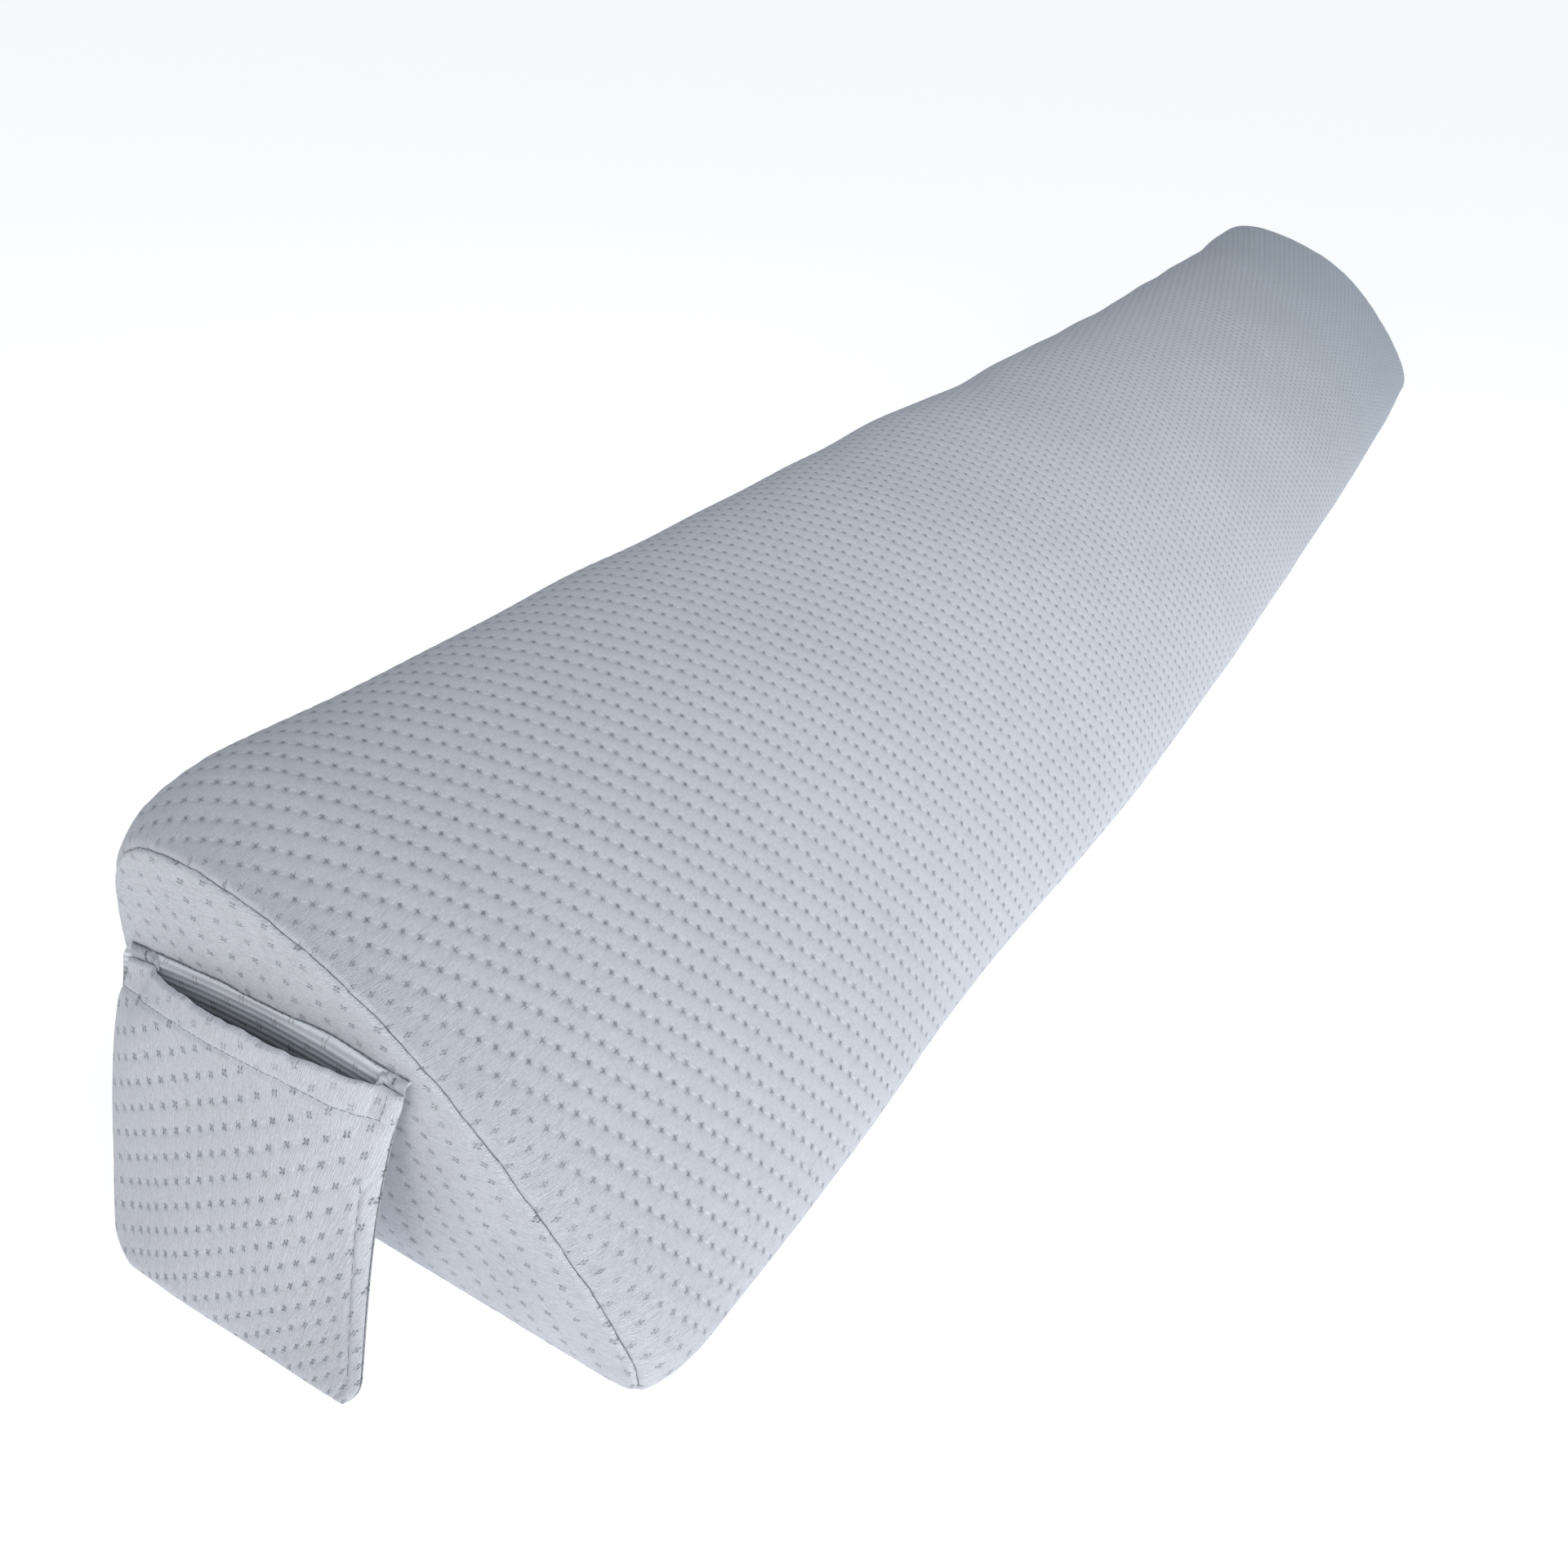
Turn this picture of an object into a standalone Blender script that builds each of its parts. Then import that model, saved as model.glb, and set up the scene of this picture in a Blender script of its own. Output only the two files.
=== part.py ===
"""Long wedge pillow with a hanging end pocket.

A filled wedge fills the gap at the head of a bed: its back stands upright, its top falls
away in a full crown to a low front nose, and its base is flat. Each end is closed by a
sewn triangular panel. A two-layer pocket is sewn to the panel at the near end along the
top edge of its back layer, and its lower part swings out until it meets the surface.

Frame: +Y runs along the length away from the pocket, +X points from the upright back to
the nose, +Z is up, and the origin is in the flat base at the middle of the length.
"""

import math

import bmesh
import bpy

# Driving sizes, in metres.
LENGTH = 1.524
WIDTH = 0.250
HEIGHT = 0.154
NEAR_EXTRA_HEIGHT = 0.007
BOW = 0.019
END_CROWN = 0.003
CLOTH = 0.002
GAP = 0.0003

# The pocket: its size, how far its foot swings out and the shape of its edges.
POCKET_WIDTH = 0.139
POCKET_TOP = 0.1015
POCKET_REACH = 0.050
POCKET_SWING_POWER = 1.6
POCKET_LEFT_TAPER = 0.030
POCKET_RIGHT_FLARE = 0.009
POCKET_WAIST = 0.010
POCKET_CORNER = 0.007
CORNER_SHARE = 0.08
FOOT_SLANT = 0.04
MOUTH_RISE = 0.005
MOUTH_ARCH = 0.006
MOUTH_GAPE = 0.010
LIP_DROOP = 0.004
POCKET_BELLY = 0.006

# Sizes that follow from them.
HALF = LENGTH / 2
BACK_X = -0.131
POCKET_LEFT = -0.1160
POCKET_START = END_CROWN + CLOTH + 2 * GAP
POCKET_FOOT = 2 * GAP
PANEL_CLEARANCE = 2 * GAP

COLLECTION_NAME = "wedge_pillow"
MERGE = 0.0001
CLOTH_ROUGHNESS = 0.85
COVER_COLOUR = (0.56, 0.59, 0.66, 1.0)
SHADED_COVER_COLOUR = (0.50, 0.54, 0.61, 1.0)
POCKET_COLUMNS = 14
POCKET_ROWS = 12

# The section's control points, from the base up the back, over the ridge and down to the nose.
# Columns: across from the back in widths, height in heights, for the body and for the seam.
SECTION = [
    {"name": "base at the back", "body": (0.140, 0.000), "seam": (0.150, 0.000)},
    {"name": "foot of the back", "body": (0.012, 0.000), "seam": (0.034, 0.000)},
    {"name": "middle of the back", "body": (0.000, 0.420), "seam": (0.024, 0.400)},
    {"name": "top of the back", "body": (0.000, 0.830), "seam": (0.028, 0.770)},
    {"name": "ridge at the back", "body": (0.034, 1.000), "seam": (0.060, 0.953)},
    {"name": "ridge at the front", "body": (0.170, 1.020), "seam": (0.185, 0.995)},
    {"name": "upper slope", "body": (0.345, 0.952), "seam": (0.350, 0.956)},
    {"name": "middle slope", "body": (0.530, 0.832), "seam": (0.527, 0.850)},
    {"name": "lower slope", "body": (0.705, 0.640), "seam": (0.693, 0.652)},
    {"name": "foot of the slope", "body": (0.860, 0.400), "seam": (0.836, 0.400)},
    {"name": "top of the nose", "body": (0.975, 0.165), "seam": (0.940, 0.190)},
    {"name": "foot of the nose", "body": (1.014, 0.000), "seam": (0.976, 0.000)},
    {"name": "base at the nose", "body": (0.895, 0.000), "seam": (0.876, 0.000)},
    {"name": "middle of the base", "body": (0.500, 0.000), "seam": (0.500, 0.000)},
]

# Rings of the body from the middle of an end to the middle of the length.
# Columns: distance in from the end, size of the ring, share of the full body section.
END_RINGS = [
    {"inset": -1.00 * END_CROWN, "spread": 0.35, "fullness": 0.0},
    {"inset": -0.70 * END_CROWN, "spread": 0.75, "fullness": 0.0},
    {"inset": 0.0, "spread": 1.0, "fullness": 0.0},
    {"inset": 0.011, "spread": 1.0, "fullness": 0.80},
    {"inset": 0.045, "spread": 1.0, "fullness": 1.0},
    {"inset": 0.25 * LENGTH, "spread": 1.0, "fullness": 1.0},
]
MIDDLE_RING = {"inset": HALF, "spread": 1.0, "fullness": 1.0}
PANEL_RINGS = END_RINGS[:3]
SPREAD_CENTRE = (0.35, 0.40)


def clear_scene():
    """Removes every object that a new file starts with."""
    for thing in list(bpy.data.objects):
        bpy.data.objects.remove(thing, do_unlink=True)


def make_material(name, colour):
    """A plain matt Principled material."""
    material = bpy.data.materials.new(name)
    material.use_nodes = True
    shader = material.node_tree.nodes["Principled BSDF"]
    shader.inputs["Base Color"].default_value = colour
    shader.inputs["Roughness"].default_value = CLOTH_ROUGHNESS
    shader.inputs["Metallic"].default_value = 0.0
    return material


def add_object(bm, name, colour, collection):
    """Turns a bmesh into a named, smooth-shaded object with its own material."""
    mesh = bpy.data.meshes.new(name)
    bmesh.ops.recalc_face_normals(bm, faces=bm.faces)
    bm.to_mesh(mesh)
    bm.free()
    mesh.shade_smooth()
    thing = bpy.data.objects.new(name, mesh)
    thing.data.materials.append(make_material(name + "_cloth", colour))
    collection.objects.link(thing)
    return thing


def add_subdivision(thing, level):
    """Rounds a cage with a Subdivision Surface that is the same in view and render."""
    modifier = thing.modifiers.new("rounded", "SUBSURF")
    modifier.levels = level
    modifier.render_levels = level


def add_thickness(thing):
    """Gives an open surface the cloth's thickness on the side that its faces look to."""
    modifier = thing.modifiers.new("cloth", "SOLIDIFY")
    modifier.thickness = CLOTH
    modifier.offset = 1.0
    modifier.use_even_offset = True


def face_out(thing, side):
    """Turns an open sheet's faces so that they look along +Y or -Y."""
    bm = bmesh.new()
    bm.from_mesh(thing.data)
    total = sum(face.normal.y * face.calc_area() for face in bm.faces)
    if total * side < 0:
        bmesh.ops.reverse_faces(bm, faces=bm.faces)
    bm.to_mesh(thing.data)
    bm.free()


def bow_at(y):
    """Sideways bow of the whole pillow: zero at both ends, greatest halfway along."""
    along = y / LENGTH
    return BOW * (1 - 4 * along * along)


def section_point(index, ring, y):
    """Control point of one ring, between its place in the seam and in the body section."""
    row = SECTION[index % len(SECTION)]
    share = ring["fullness"]
    across = (1 - share) * row["seam"][0] + share * row["body"][0]
    up = (1 - share) * row["seam"][1] + share * row["body"][1]
    across = SPREAD_CENTRE[0] + (across - SPREAD_CENTRE[0]) * ring["spread"]
    up = SPREAD_CENTRE[1] + (up - SPREAD_CENTRE[1]) * ring["spread"]
    height = HEIGHT + share * NEAR_EXTRA_HEIGHT * (0.5 - y / LENGTH)
    return (BACK_X + across * WIDTH + bow_at(y), y, up * height)


def ring_surface(rings, places):
    """A tube of cage rings, one place along Y for each, from a grid that wraps round."""
    bm = bmesh.new()
    count = len(SECTION)
    bmesh.ops.create_grid(bm, x_segments=len(rings) - 1, y_segments=count, size=0.5)
    for vertex in bm.verts:
        row = round((vertex.co.x + 0.5) * (len(rings) - 1))
        index = round((vertex.co.y + 0.5) * count)
        vertex.co = section_point(index, rings[row], places[row])
    bmesh.ops.remove_doubles(bm, verts=bm.verts, dist=MERGE)
    return bm


def crease_rings(bm, places):
    """Makes the cage edges that lie in the given planes across Y sharp, as a sewn edge is."""
    layer = bm.edges.layers.float.new("crease_edge")
    for edge in bm.edges:
        first, second = edge.verts
        for place in places:
            if abs(first.co.y - place) < MERGE and abs(second.co.y - place) < MERGE:
                edge[layer] = 1.0


def build_body(collection):
    """The filled wedge: full in the middle, drawn in at both sewn ends, flat below."""
    rings = END_RINGS + [MIDDLE_RING] + END_RINGS[::-1]
    middle = len(END_RINGS)
    places = [
        (-HALF + ring["inset"]) if row <= middle else (HALF - ring["inset"])
        for row, ring in enumerate(rings)
    ]
    bm = ring_surface(rings, places)
    bmesh.ops.holes_fill(bm, edges=bm.edges, sides=0)
    crease_rings(bm, (-HALF, HALF))
    body = add_object(bm, "wedge_body", COVER_COLOUR, collection)
    add_subdivision(body, 2)


def build_end_panel(name, side, collection):
    """A sewn end panel: one thin crowned sheet a hair outside the end of the body."""
    places = [side * (HALF + GAP - ring["inset"]) for ring in PANEL_RINGS]
    bm = ring_surface(PANEL_RINGS, places)
    for vertex in bm.verts:
        vertex.co.z = max(vertex.co.z, PANEL_CLEARANCE)
    inner_edges = [
        edge for edge in bm.edges
        if edge.is_boundary and abs(edge.verts[0].co.y - places[0]) < MERGE
    ]
    bmesh.ops.holes_fill(bm, edges=inner_edges, sides=0)
    panel = add_object(bm, name, COVER_COLOUR, collection)
    face_out(panel, side)
    add_subdivision(panel, 1)
    add_thickness(panel)


def pocket_sides(down):
    """Where the pocket's left and right edges run, from its top (0) to its foot (1)."""
    corner = POCKET_CORNER * max(0.0, (down - 1 + CORNER_SHARE) / CORNER_SHARE) ** 2
    left = POCKET_LEFT + POCKET_LEFT_TAPER * down ** 3 + corner
    waist = POCKET_WAIST * math.sin(math.pi * min(down, 1.0))
    right = POCKET_LEFT + POCKET_WIDTH + POCKET_RIGHT_FLARE * down - waist - corner
    return left, right


def pocket_point(across, down, lift):
    """Point of the pocket: a sheet that hangs, then swings out on a power curve of its drop."""
    left, right = pocket_sides(down)
    x = left + (right - left) * across
    top = POCKET_TOP + MOUTH_RISE * across + MOUTH_ARCH * math.sin(math.pi * across)
    drop = top - POCKET_FOOT
    depth = down * (1 - FOOT_SLANT * across * across)
    reach = POCKET_START + POCKET_REACH * depth ** POCKET_SWING_POWER
    slope = POCKET_SWING_POWER * POCKET_REACH * depth ** (POCKET_SWING_POWER - 1)
    size = math.hypot(slope, drop)
    out = lift * drop / size
    up = lift * slope / size
    return (x, -HALF - reach - out, top - drop * depth + up)


def front_lift(across, down):
    """How far the front layer stands off: least at its sewn sides and foot, most at its lip."""
    sides = math.sin(math.pi * across) ** 0.6
    gape = MOUTH_GAPE * (1 - down)
    belly = POCKET_BELLY * math.sin(math.pi * down ** 0.8)
    return CLOTH + GAP + sides * (gape + belly)


def back_lift(across, down):
    """The back layer is the hanging sheet itself."""
    return 0.0


def build_pocket_layer(name, lift_rule, droop, colour, collection):
    """One layer of the pocket, from a grid carried onto its hanging sheet."""
    bm = bmesh.new()
    bmesh.ops.create_grid(bm, x_segments=POCKET_COLUMNS, y_segments=POCKET_ROWS, size=0.5)
    for vertex in bm.verts:
        across = min(max(vertex.co.x + 0.5, 0.0), 1.0)
        down = min(max(0.5 - vertex.co.y, 0.0), 1.0)
        lip = droop / POCKET_TOP * math.sin(math.pi * across) ** 0.6 * (1 - down)
        vertex.co = pocket_point(across, down + lip, lift_rule(across, down))
    layer = add_object(bm, name, colour, collection)
    face_out(layer, -1)
    add_thickness(layer)


def build_pocket(collection):
    """The pocket's two layers: a plain back and a front that gapes and droops at its lip."""
    build_pocket_layer("pocket_back", back_lift, 0.0, SHADED_COVER_COLOUR, collection)
    build_pocket_layer("pocket_front", front_lift, LIP_DROOP, COVER_COLOUR, collection)


def build():
    """Builds the whole pillow in its own collection."""
    clear_scene()
    collection = bpy.data.collections.new(COLLECTION_NAME)
    bpy.context.scene.collection.children.link(collection)
    build_body(collection)
    build_end_panel("end_panel_near", -1, collection)
    build_end_panel("end_panel_far", 1, collection)
    build_pocket(collection)


build()
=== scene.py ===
"""Looks of the long wedge pillow with an end pocket.

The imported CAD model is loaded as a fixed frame, and each of its soft solids is replaced by
finished cloth: the knit cover with its rows of dots, two sewn end panels and the two layers
of the pocket, with their seams and stitches.

Frame: +Y runs along the length away from the pocket, +X points from the upright back to the
nose, +Z is up, and the origin is in the flat base at the middle of the length.
"""

import math

import bmesh
import bpy
import numpy as np
from mathutils import Matrix, Vector


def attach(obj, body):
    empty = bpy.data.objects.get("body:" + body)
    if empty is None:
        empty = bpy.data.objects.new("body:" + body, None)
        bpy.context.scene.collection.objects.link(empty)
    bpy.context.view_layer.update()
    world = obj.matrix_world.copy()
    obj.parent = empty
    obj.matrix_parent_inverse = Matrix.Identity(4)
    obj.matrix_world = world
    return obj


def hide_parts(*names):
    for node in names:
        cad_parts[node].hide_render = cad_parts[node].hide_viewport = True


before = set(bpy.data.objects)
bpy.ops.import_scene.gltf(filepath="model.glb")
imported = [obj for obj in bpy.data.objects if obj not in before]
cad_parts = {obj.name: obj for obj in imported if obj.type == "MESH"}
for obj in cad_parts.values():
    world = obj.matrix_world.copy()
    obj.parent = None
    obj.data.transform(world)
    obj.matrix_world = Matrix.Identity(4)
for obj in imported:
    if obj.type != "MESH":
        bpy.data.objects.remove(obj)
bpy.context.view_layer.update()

# Sizes of the pillow, in metres, the same as in the CAD source.
LENGTH = 1.524
HALF = LENGTH / 2
WIDTH = 0.250
HEIGHT = 0.154
NEAR_EXTRA_HEIGHT = 0.007
BOW = 0.019
BACK_X = -0.131
END_CROWN = 0.003
END_EASE = 0.045
EXTRA_EASE = 0.050
SHEET = 0.002

# Sizes of the pocket, the same as in the CAD source.
POCKET_WIDTH = 0.139
POCKET_LEFT = -0.1160
POCKET_TOP = 0.1015
POCKET_FOOT = 0.0006
POCKET_START = 0.0056
POCKET_REACH = 0.050
POCKET_SWING_POWER = 1.6
POCKET_LEFT_TAPER = 0.030
POCKET_RIGHT_FLARE = 0.0115
POCKET_WAIST = 0.010
POCKET_CORNER = 0.007
CORNER_SHARE = 0.08
FOOT_SLANT = 0.016
MOUTH_RISE = 0.005
MOUTH_ARCH = 0.006
MOUTH_GAPE = 0.010
POCKET_BELLY = 0.006

# How the pocket is sewn: the hem, the mouth's opening across it, and the stitches' length, width
# and height.
HEM = 0.0124
SEAM_LIFT = 0.0022
KNIT_THICKNESS = 0.0013
MOUTH_PULL = (0.0045, 0.0016)
POCKET_SWELL = 0.0024
LIP_DROOP = (0.0030, 0.0032)
BACK_DROP = 0.0016
OPENING = (0.115, 0.93)
HEM_END = 0.962
HEM_STITCH = (0.0026, 0.00050, 0.00040)
TACK_STITCH = (0.0014, 0.00060, 0.00045)
SIDE_SEAM = 0.0048
SIDE_STITCH = (0.0046, 0.00050, 0.00040)
TUCK = 0.0050
LAYER_ROLL = 0.0042

# How much closer together a layer's rows and columns lie at its edges.
ACROSS_SHARE = 0.55
DOWN_SHARE = 0.45

# Control points of the section, from the base up the back, over the ridge and down to the nose.
# Each is across from the back in widths and up in heights. Columns: body, near seam, far seam.
SECTION = np.array([
    ((0.140, 0.000), (0.150, 0.000), (0.150, 0.000)),  # base at the back
    ((0.012, 0.000), (0.034, 0.000), (0.034, 0.000)),  # foot of the back
    ((0.000, 0.420), (0.010, 0.400), (0.016, 0.400)),  # middle of the back
    ((0.000, 0.830), (0.020, 0.770), (0.022, 0.790)),  # top of the back
    ((0.034, 1.000), (0.072, 0.949), (0.056, 0.966)),  # ridge at the back
    ((0.170, 1.020), (0.185, 0.995), (0.185, 0.968)),  # ridge at the front
    ((0.345, 0.952), (0.350, 0.956), (0.350, 0.922)),  # upper slope
    ((0.530, 0.832), (0.527, 0.850), (0.527, 0.822)),  # middle slope
    ((0.705, 0.640), (0.693, 0.652), (0.693, 0.640)),  # lower slope
    ((0.860, 0.400), (0.836, 0.400), (0.836, 0.400)),  # foot of the slope
    ((0.975, 0.165), (0.940, 0.190), (0.940, 0.190)),  # top of the nose
    ((1.017, 0.000), (0.988, 0.000), (0.982, 0.000)),  # foot of the nose
    ((0.895, 0.000), (0.876, 0.000), (0.876, 0.000)),  # base at the nose
    ((0.500, 0.000), (0.500, 0.000), (0.500, 0.000)),  # middle of the base
])
FIRST_PLACE = -1.0
LAST_PLACE = 13.0
BACK_FOOT_PLACE = 0.0
NOSE_FOOT_PLACE = 12.0

# Each cloth's dots lie on a lattice: its first dot, the step to the next dot of a row and the
# step to the next row, in metres, on two directions of its surface. Where the cloth is skewed,
# the bend gives what the lattice numbers' squares and their product add, in metres.
COVER_KNIT = {
    "first_dot": (0.2531 - HALF, 0.1187),
    "dot_step": (0.0027, 0.0056),
    "row_step": (-0.0088, 0.0019),
    "bend": None,
}
PANEL_KNIT = {
    "first_dot": (0.0245, 0.0541),
    "dot_step": (-0.00267, 0.00625),
    "row_step": (0.01127, 0.00330),
    "bend": None,
}
POCKET_KNIT = {
    "first_dot": (-0.0378, 0.0725),
    "dot_step": (-0.00579, 0.00348),
    "row_step": (0.00097, 0.00973),
    "bend": ((0.000056, -0.000076), (0.000273, -0.000158), (0.000005, -0.000146)),
}

# How often the solution of a bent lattice is repeated.
BEND_ROUNDS = 40

# How finely the cover is meshed: four rings to a furrow along it and five columns round it, and
# wide columns under the base.
RINGS_PER_FURROW = 4
COLUMNS_PER_FURROW = 5
BASE_COLUMN = 0.012
FURROW_DEPTH = 0.00026

# The rounded edge at each end and the seam in it.
PANEL_PROUD = 0.0023
EDGE_RADIUS = 0.0042
SEAM_DEPTH = 0.0015
SEAM_REACH = 0.0009
SEAM_STITCH = 0.0032
SEAM_ANGLE = math.radians(45)
SEAM_COLUMNS = 1400
EDGE_RINGS = 7
PANEL_THICKNESS = 0.0012
END_MIDDLE = np.array([BACK_X + 0.35 * WIDTH, 0.0, 0.40 * HEIGHT])

# Rings that close the cover behind a panel: their size as a share of the seam's, and how far
# beyond the end they lie.
END_FACE_RINGS = [(0.985, -0.0004), (0.93, 0.0), (0.5, 0.0004), (0.1, 0.0006)]

FLOOR_DROP = 0.0004


# Numbers on curves and grids


def spline_weights(places, count, closed):
    """Weights of a uniform cubic B-spline, one row for each place and one column a control.

    The four nearest controls share a place by the cubic B-spline weights of its fraction.
    """
    whole = np.floor(places).astype(int)
    part = places - whole
    shares = [
        (1 - part) ** 3 / 6,
        (3 * part ** 3 - 6 * part ** 2 + 4) / 6,
        (-3 * part ** 3 + 3 * part ** 2 + 3 * part + 1) / 6,
        part ** 3 / 6,
    ]
    weights = np.zeros((len(places), count))
    rows = np.arange(len(places))
    for step, share in enumerate(shares):
        control = whole + step - 1
        control = control % count if closed else np.clip(control, 0, count - 1)
        np.add.at(weights, (rows, control), share)
    return weights


def smooth_step(value, start, reach):
    """Rises smoothly from 0 at the start to 1 at the end of the reach.

    It is three squares less two cubes of the share of the reach that is passed, kept to 0..1.
    """
    share = np.clip((value - start) / reach, 0.0, 1.0)
    return share * share * (3 - 2 * share)


def bow_at(y):
    """Sideways bow of the pillow: zero at both ends, greatest halfway along."""
    return BOW * (1 - 4 * (y / LENGTH) ** 2)


def fullness_at(y):
    """Share of the full section: none at a seam, all of it beyond the drawn-in stretch."""
    inset = np.clip((HALF - np.abs(y)) / END_EASE, 0.0, 1.0)
    return 1 - (1 - inset) ** 4


# Where the filled cover stands higher or narrower than the plain section, as bells along Y.
FULLER_RIDGE = {"size": 0.0068, "middle": -0.300, "reach": 0.300}
SLIMMER_NOSE = {"size": 0.0066, "middle": -0.500, "reach": 0.125}
SLIMMER_MIDDLE = {"size": 0.0022, "middle": 0.150, "reach": 0.300}


def bell(y, shape):
    """A bell along the length: its size times an exponential of the squared way to its middle."""
    return shape["size"] * np.exp(-((y - shape["middle"]) / shape["reach"]) ** 2)


def section_points(y, places):
    """The plain cover at each y and each place round the section.

    The section is a closed spline, mixed from a seam's and the body's controls by the
    fullness at y, then scaled to the width and height there and moved by the bow.
    """
    weights = spline_weights(places, len(SECTION), True)
    body, near, far = (weights @ SECTION[:, column] for column in range(3))
    share = fullness_at(y)[:, None, None]
    seam = np.where(y[:, None, None] < 0, near[None], far[None])
    across, up = np.moveaxis((1 - share) * seam + share * body[None], -1, 0)
    extra = NEAR_EXTRA_HEIGHT * (0.5 - y / LENGTH) * smooth_step(HALF - np.abs(y), 0.0, EXTRA_EASE)
    height = (HEIGHT + extra + bell(y, FULLER_RIDGE))[:, None]
    width = (WIDTH - bell(y, SLIMMER_NOSE) - bell(y, SLIMMER_MIDDLE))[:, None]
    x = BACK_X + across * width + bow_at(y)[:, None]
    return np.stack([x, np.broadcast_to(y[:, None], x.shape), up * height], axis=-1)


def section_normals(points):
    """Outward direction across Y: the step to the next place round, turned a quarter turn."""
    step = np.roll(points, -1, axis=1) - np.roll(points, 1, axis=1)
    return unit(np.stack([-step[..., 2], np.zeros(step.shape[:2]), step[..., 0]], axis=-1))


def knit_places(first, second, knit):
    """Lattice numbers of surface points: along a row of dots, and from row to row.

    The point less the first dot is a whole of dot steps and row steps, found by solving the
    two equations. Where the cloth is skewed, the squares of the numbers bend it, and the
    solution is repeated with the bend taken off.
    """
    (a, b), (c, d) = knit["dot_step"], knit["row_step"]
    size = a * d - b * c
    one, two = first - knit["first_dot"][0], second - knit["first_dot"][1]
    along, row = (one * d - two * c) / size, (a * two - b * one) / size
    if knit["bend"] is not None:
        squares = np.array(knit["bend"])
        for _ in range(BEND_ROUNDS):
            bend = [
                squares[0, k] * along ** 2 + squares[1, k] * along * row + squares[2, k] * row ** 2
                for k in (0, 1)
            ]
            left, right = one - bend[0], two - bend[1]
            along = 0.5 * along + 0.5 * (left * d - right * c) / size
            row = 0.5 * row + 0.5 * (a * right - b * left) / size
    return np.stack([along, row], axis=-1)


def dot_dimples(numbers, knit, depth, radius):
    """A bell round each dot: its depth times an exponential of the squared distance."""
    rest = numbers - np.round(numbers)
    (a, b), (c, d) = knit["dot_step"], knit["row_step"]
    one, two = rest[..., 0] * a + rest[..., 1] * c, rest[..., 0] * b + rest[..., 1] * d
    return depth * np.exp(-(one ** 2 + two ** 2) / radius ** 2)


def furrow_shape(row):
    """One along a row of dots and nothing midway: the cosine of the row number, sharpened."""
    return (0.5 + 0.5 * np.cos(2 * np.pi * row)) ** 1.5


def uneven(first, second, waves):
    """A soft uneven surface: the sum of sine waves over two directions.

    Columns of the waves: length along the first and along the second direction, height, start.
    """
    total = 0.0
    for first_length, second_length, height, start in waves:
        turn = 2 * np.pi * (first / first_length + second / second_length)
        total = total + height * np.sin(turn + start)
    return total


def ripples(distance, waves):
    """The sum of sine waves along a line. Columns of the waves: length, height, start."""
    return uneven(distance, 0.0, [(length, 1.0, height, start) for length, height, start in waves])


# Meshes

# A thread or a stitch has six points round it.
SIX_TURNS = np.arange(6) * np.pi / 3


def grid_corners(rows, columns, closed, closed_rows=False):
    """The four corners of every quad of a grid, as numbers in the grid."""
    numbers = np.arange(rows * columns).reshape(rows, columns)
    if closed_rows:
        numbers = np.vstack([numbers, numbers[:1]])
    if closed:
        numbers = np.hstack([numbers, numbers[:, :1]])
    corners = [numbers[:-1, :-1], numbers[:-1, 1:], numbers[1:, 1:], numbers[1:, :-1]]
    return np.stack(corners, axis=-1).reshape(-1, 4)


def add_piece(name, points, faces, uvs=None, materials=(), material_of_face=None):
    """Puts a mesh into the scene from arrays: points, lists of faces and their corner UVs."""
    mesh = bpy.data.meshes.new(name)
    mesh.vertices.add(len(points))
    mesh.vertices.foreach_set("co", np.ascontiguousarray(points, dtype=np.float32).ravel())
    loops = np.concatenate([part.ravel() for part in faces])
    sizes = np.concatenate([np.full(len(part), part.shape[1]) for part in faces])
    starts = np.concatenate([[0], np.cumsum(sizes)[:-1]])
    mesh.loops.add(len(loops))
    mesh.loops.foreach_set("vertex_index", loops.astype(np.int32))
    mesh.polygons.add(len(sizes))
    mesh.polygons.foreach_set("loop_start", starts.astype(np.int32))
    mesh.update(calc_edges=True)
    mesh.polygons.foreach_set("use_smooth", np.ones(len(sizes), dtype=bool))
    for label, values in (uvs or {}).items():
        layer = mesh.uv_layers.new(name=label)
        layer.uv.foreach_set("vector", np.ascontiguousarray(values, dtype=np.float32).ravel())
    for material in materials:
        mesh.materials.append(material)
    if material_of_face is not None:
        mesh.polygons.foreach_set("material_index", material_of_face.astype(np.int32))
    mesh.validate()
    mesh.update()
    piece = bpy.data.objects.new(name, mesh)
    bpy.context.scene.collection.objects.link(piece)
    return piece


def capped_tube(name, grid, uv_grids, materials):
    """A closed body from rings of points: quads between them and a fan at each end."""
    rows, columns = grid.shape[:2]
    poles = np.stack([grid[0].mean(axis=0), grid[-1].mean(axis=0)])
    points = np.concatenate([grid.reshape(-1, 3), poles])
    quads = grid_corners(rows, columns, True)
    uv_quads = grid_corners(rows, columns + 1, False)
    ring = np.arange(columns)
    after = (ring + 1) % columns
    first = np.stack([np.full(columns, rows * columns), after, ring], axis=-1)
    last_ring = (rows - 1) * columns
    last = np.stack([np.full(columns, rows * columns + 1), last_ring + ring, last_ring + after], axis=-1)
    uvs = {}
    for label, values in uv_grids.items():
        flat = values.reshape(-1, 2)
        start = flat[np.stack([ring, ring + 1, ring], axis=-1)].reshape(-1, 2)
        end_row = (rows - 1) * (columns + 1)
        end = flat[end_row + np.stack([ring, ring, ring + 1], axis=-1)].reshape(-1, 2)
        uvs[label] = np.concatenate([flat[uv_quads].reshape(-1, 2), start, end])
    return add_piece(name, points, [quads, np.concatenate([first, last])], uvs, materials)


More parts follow.
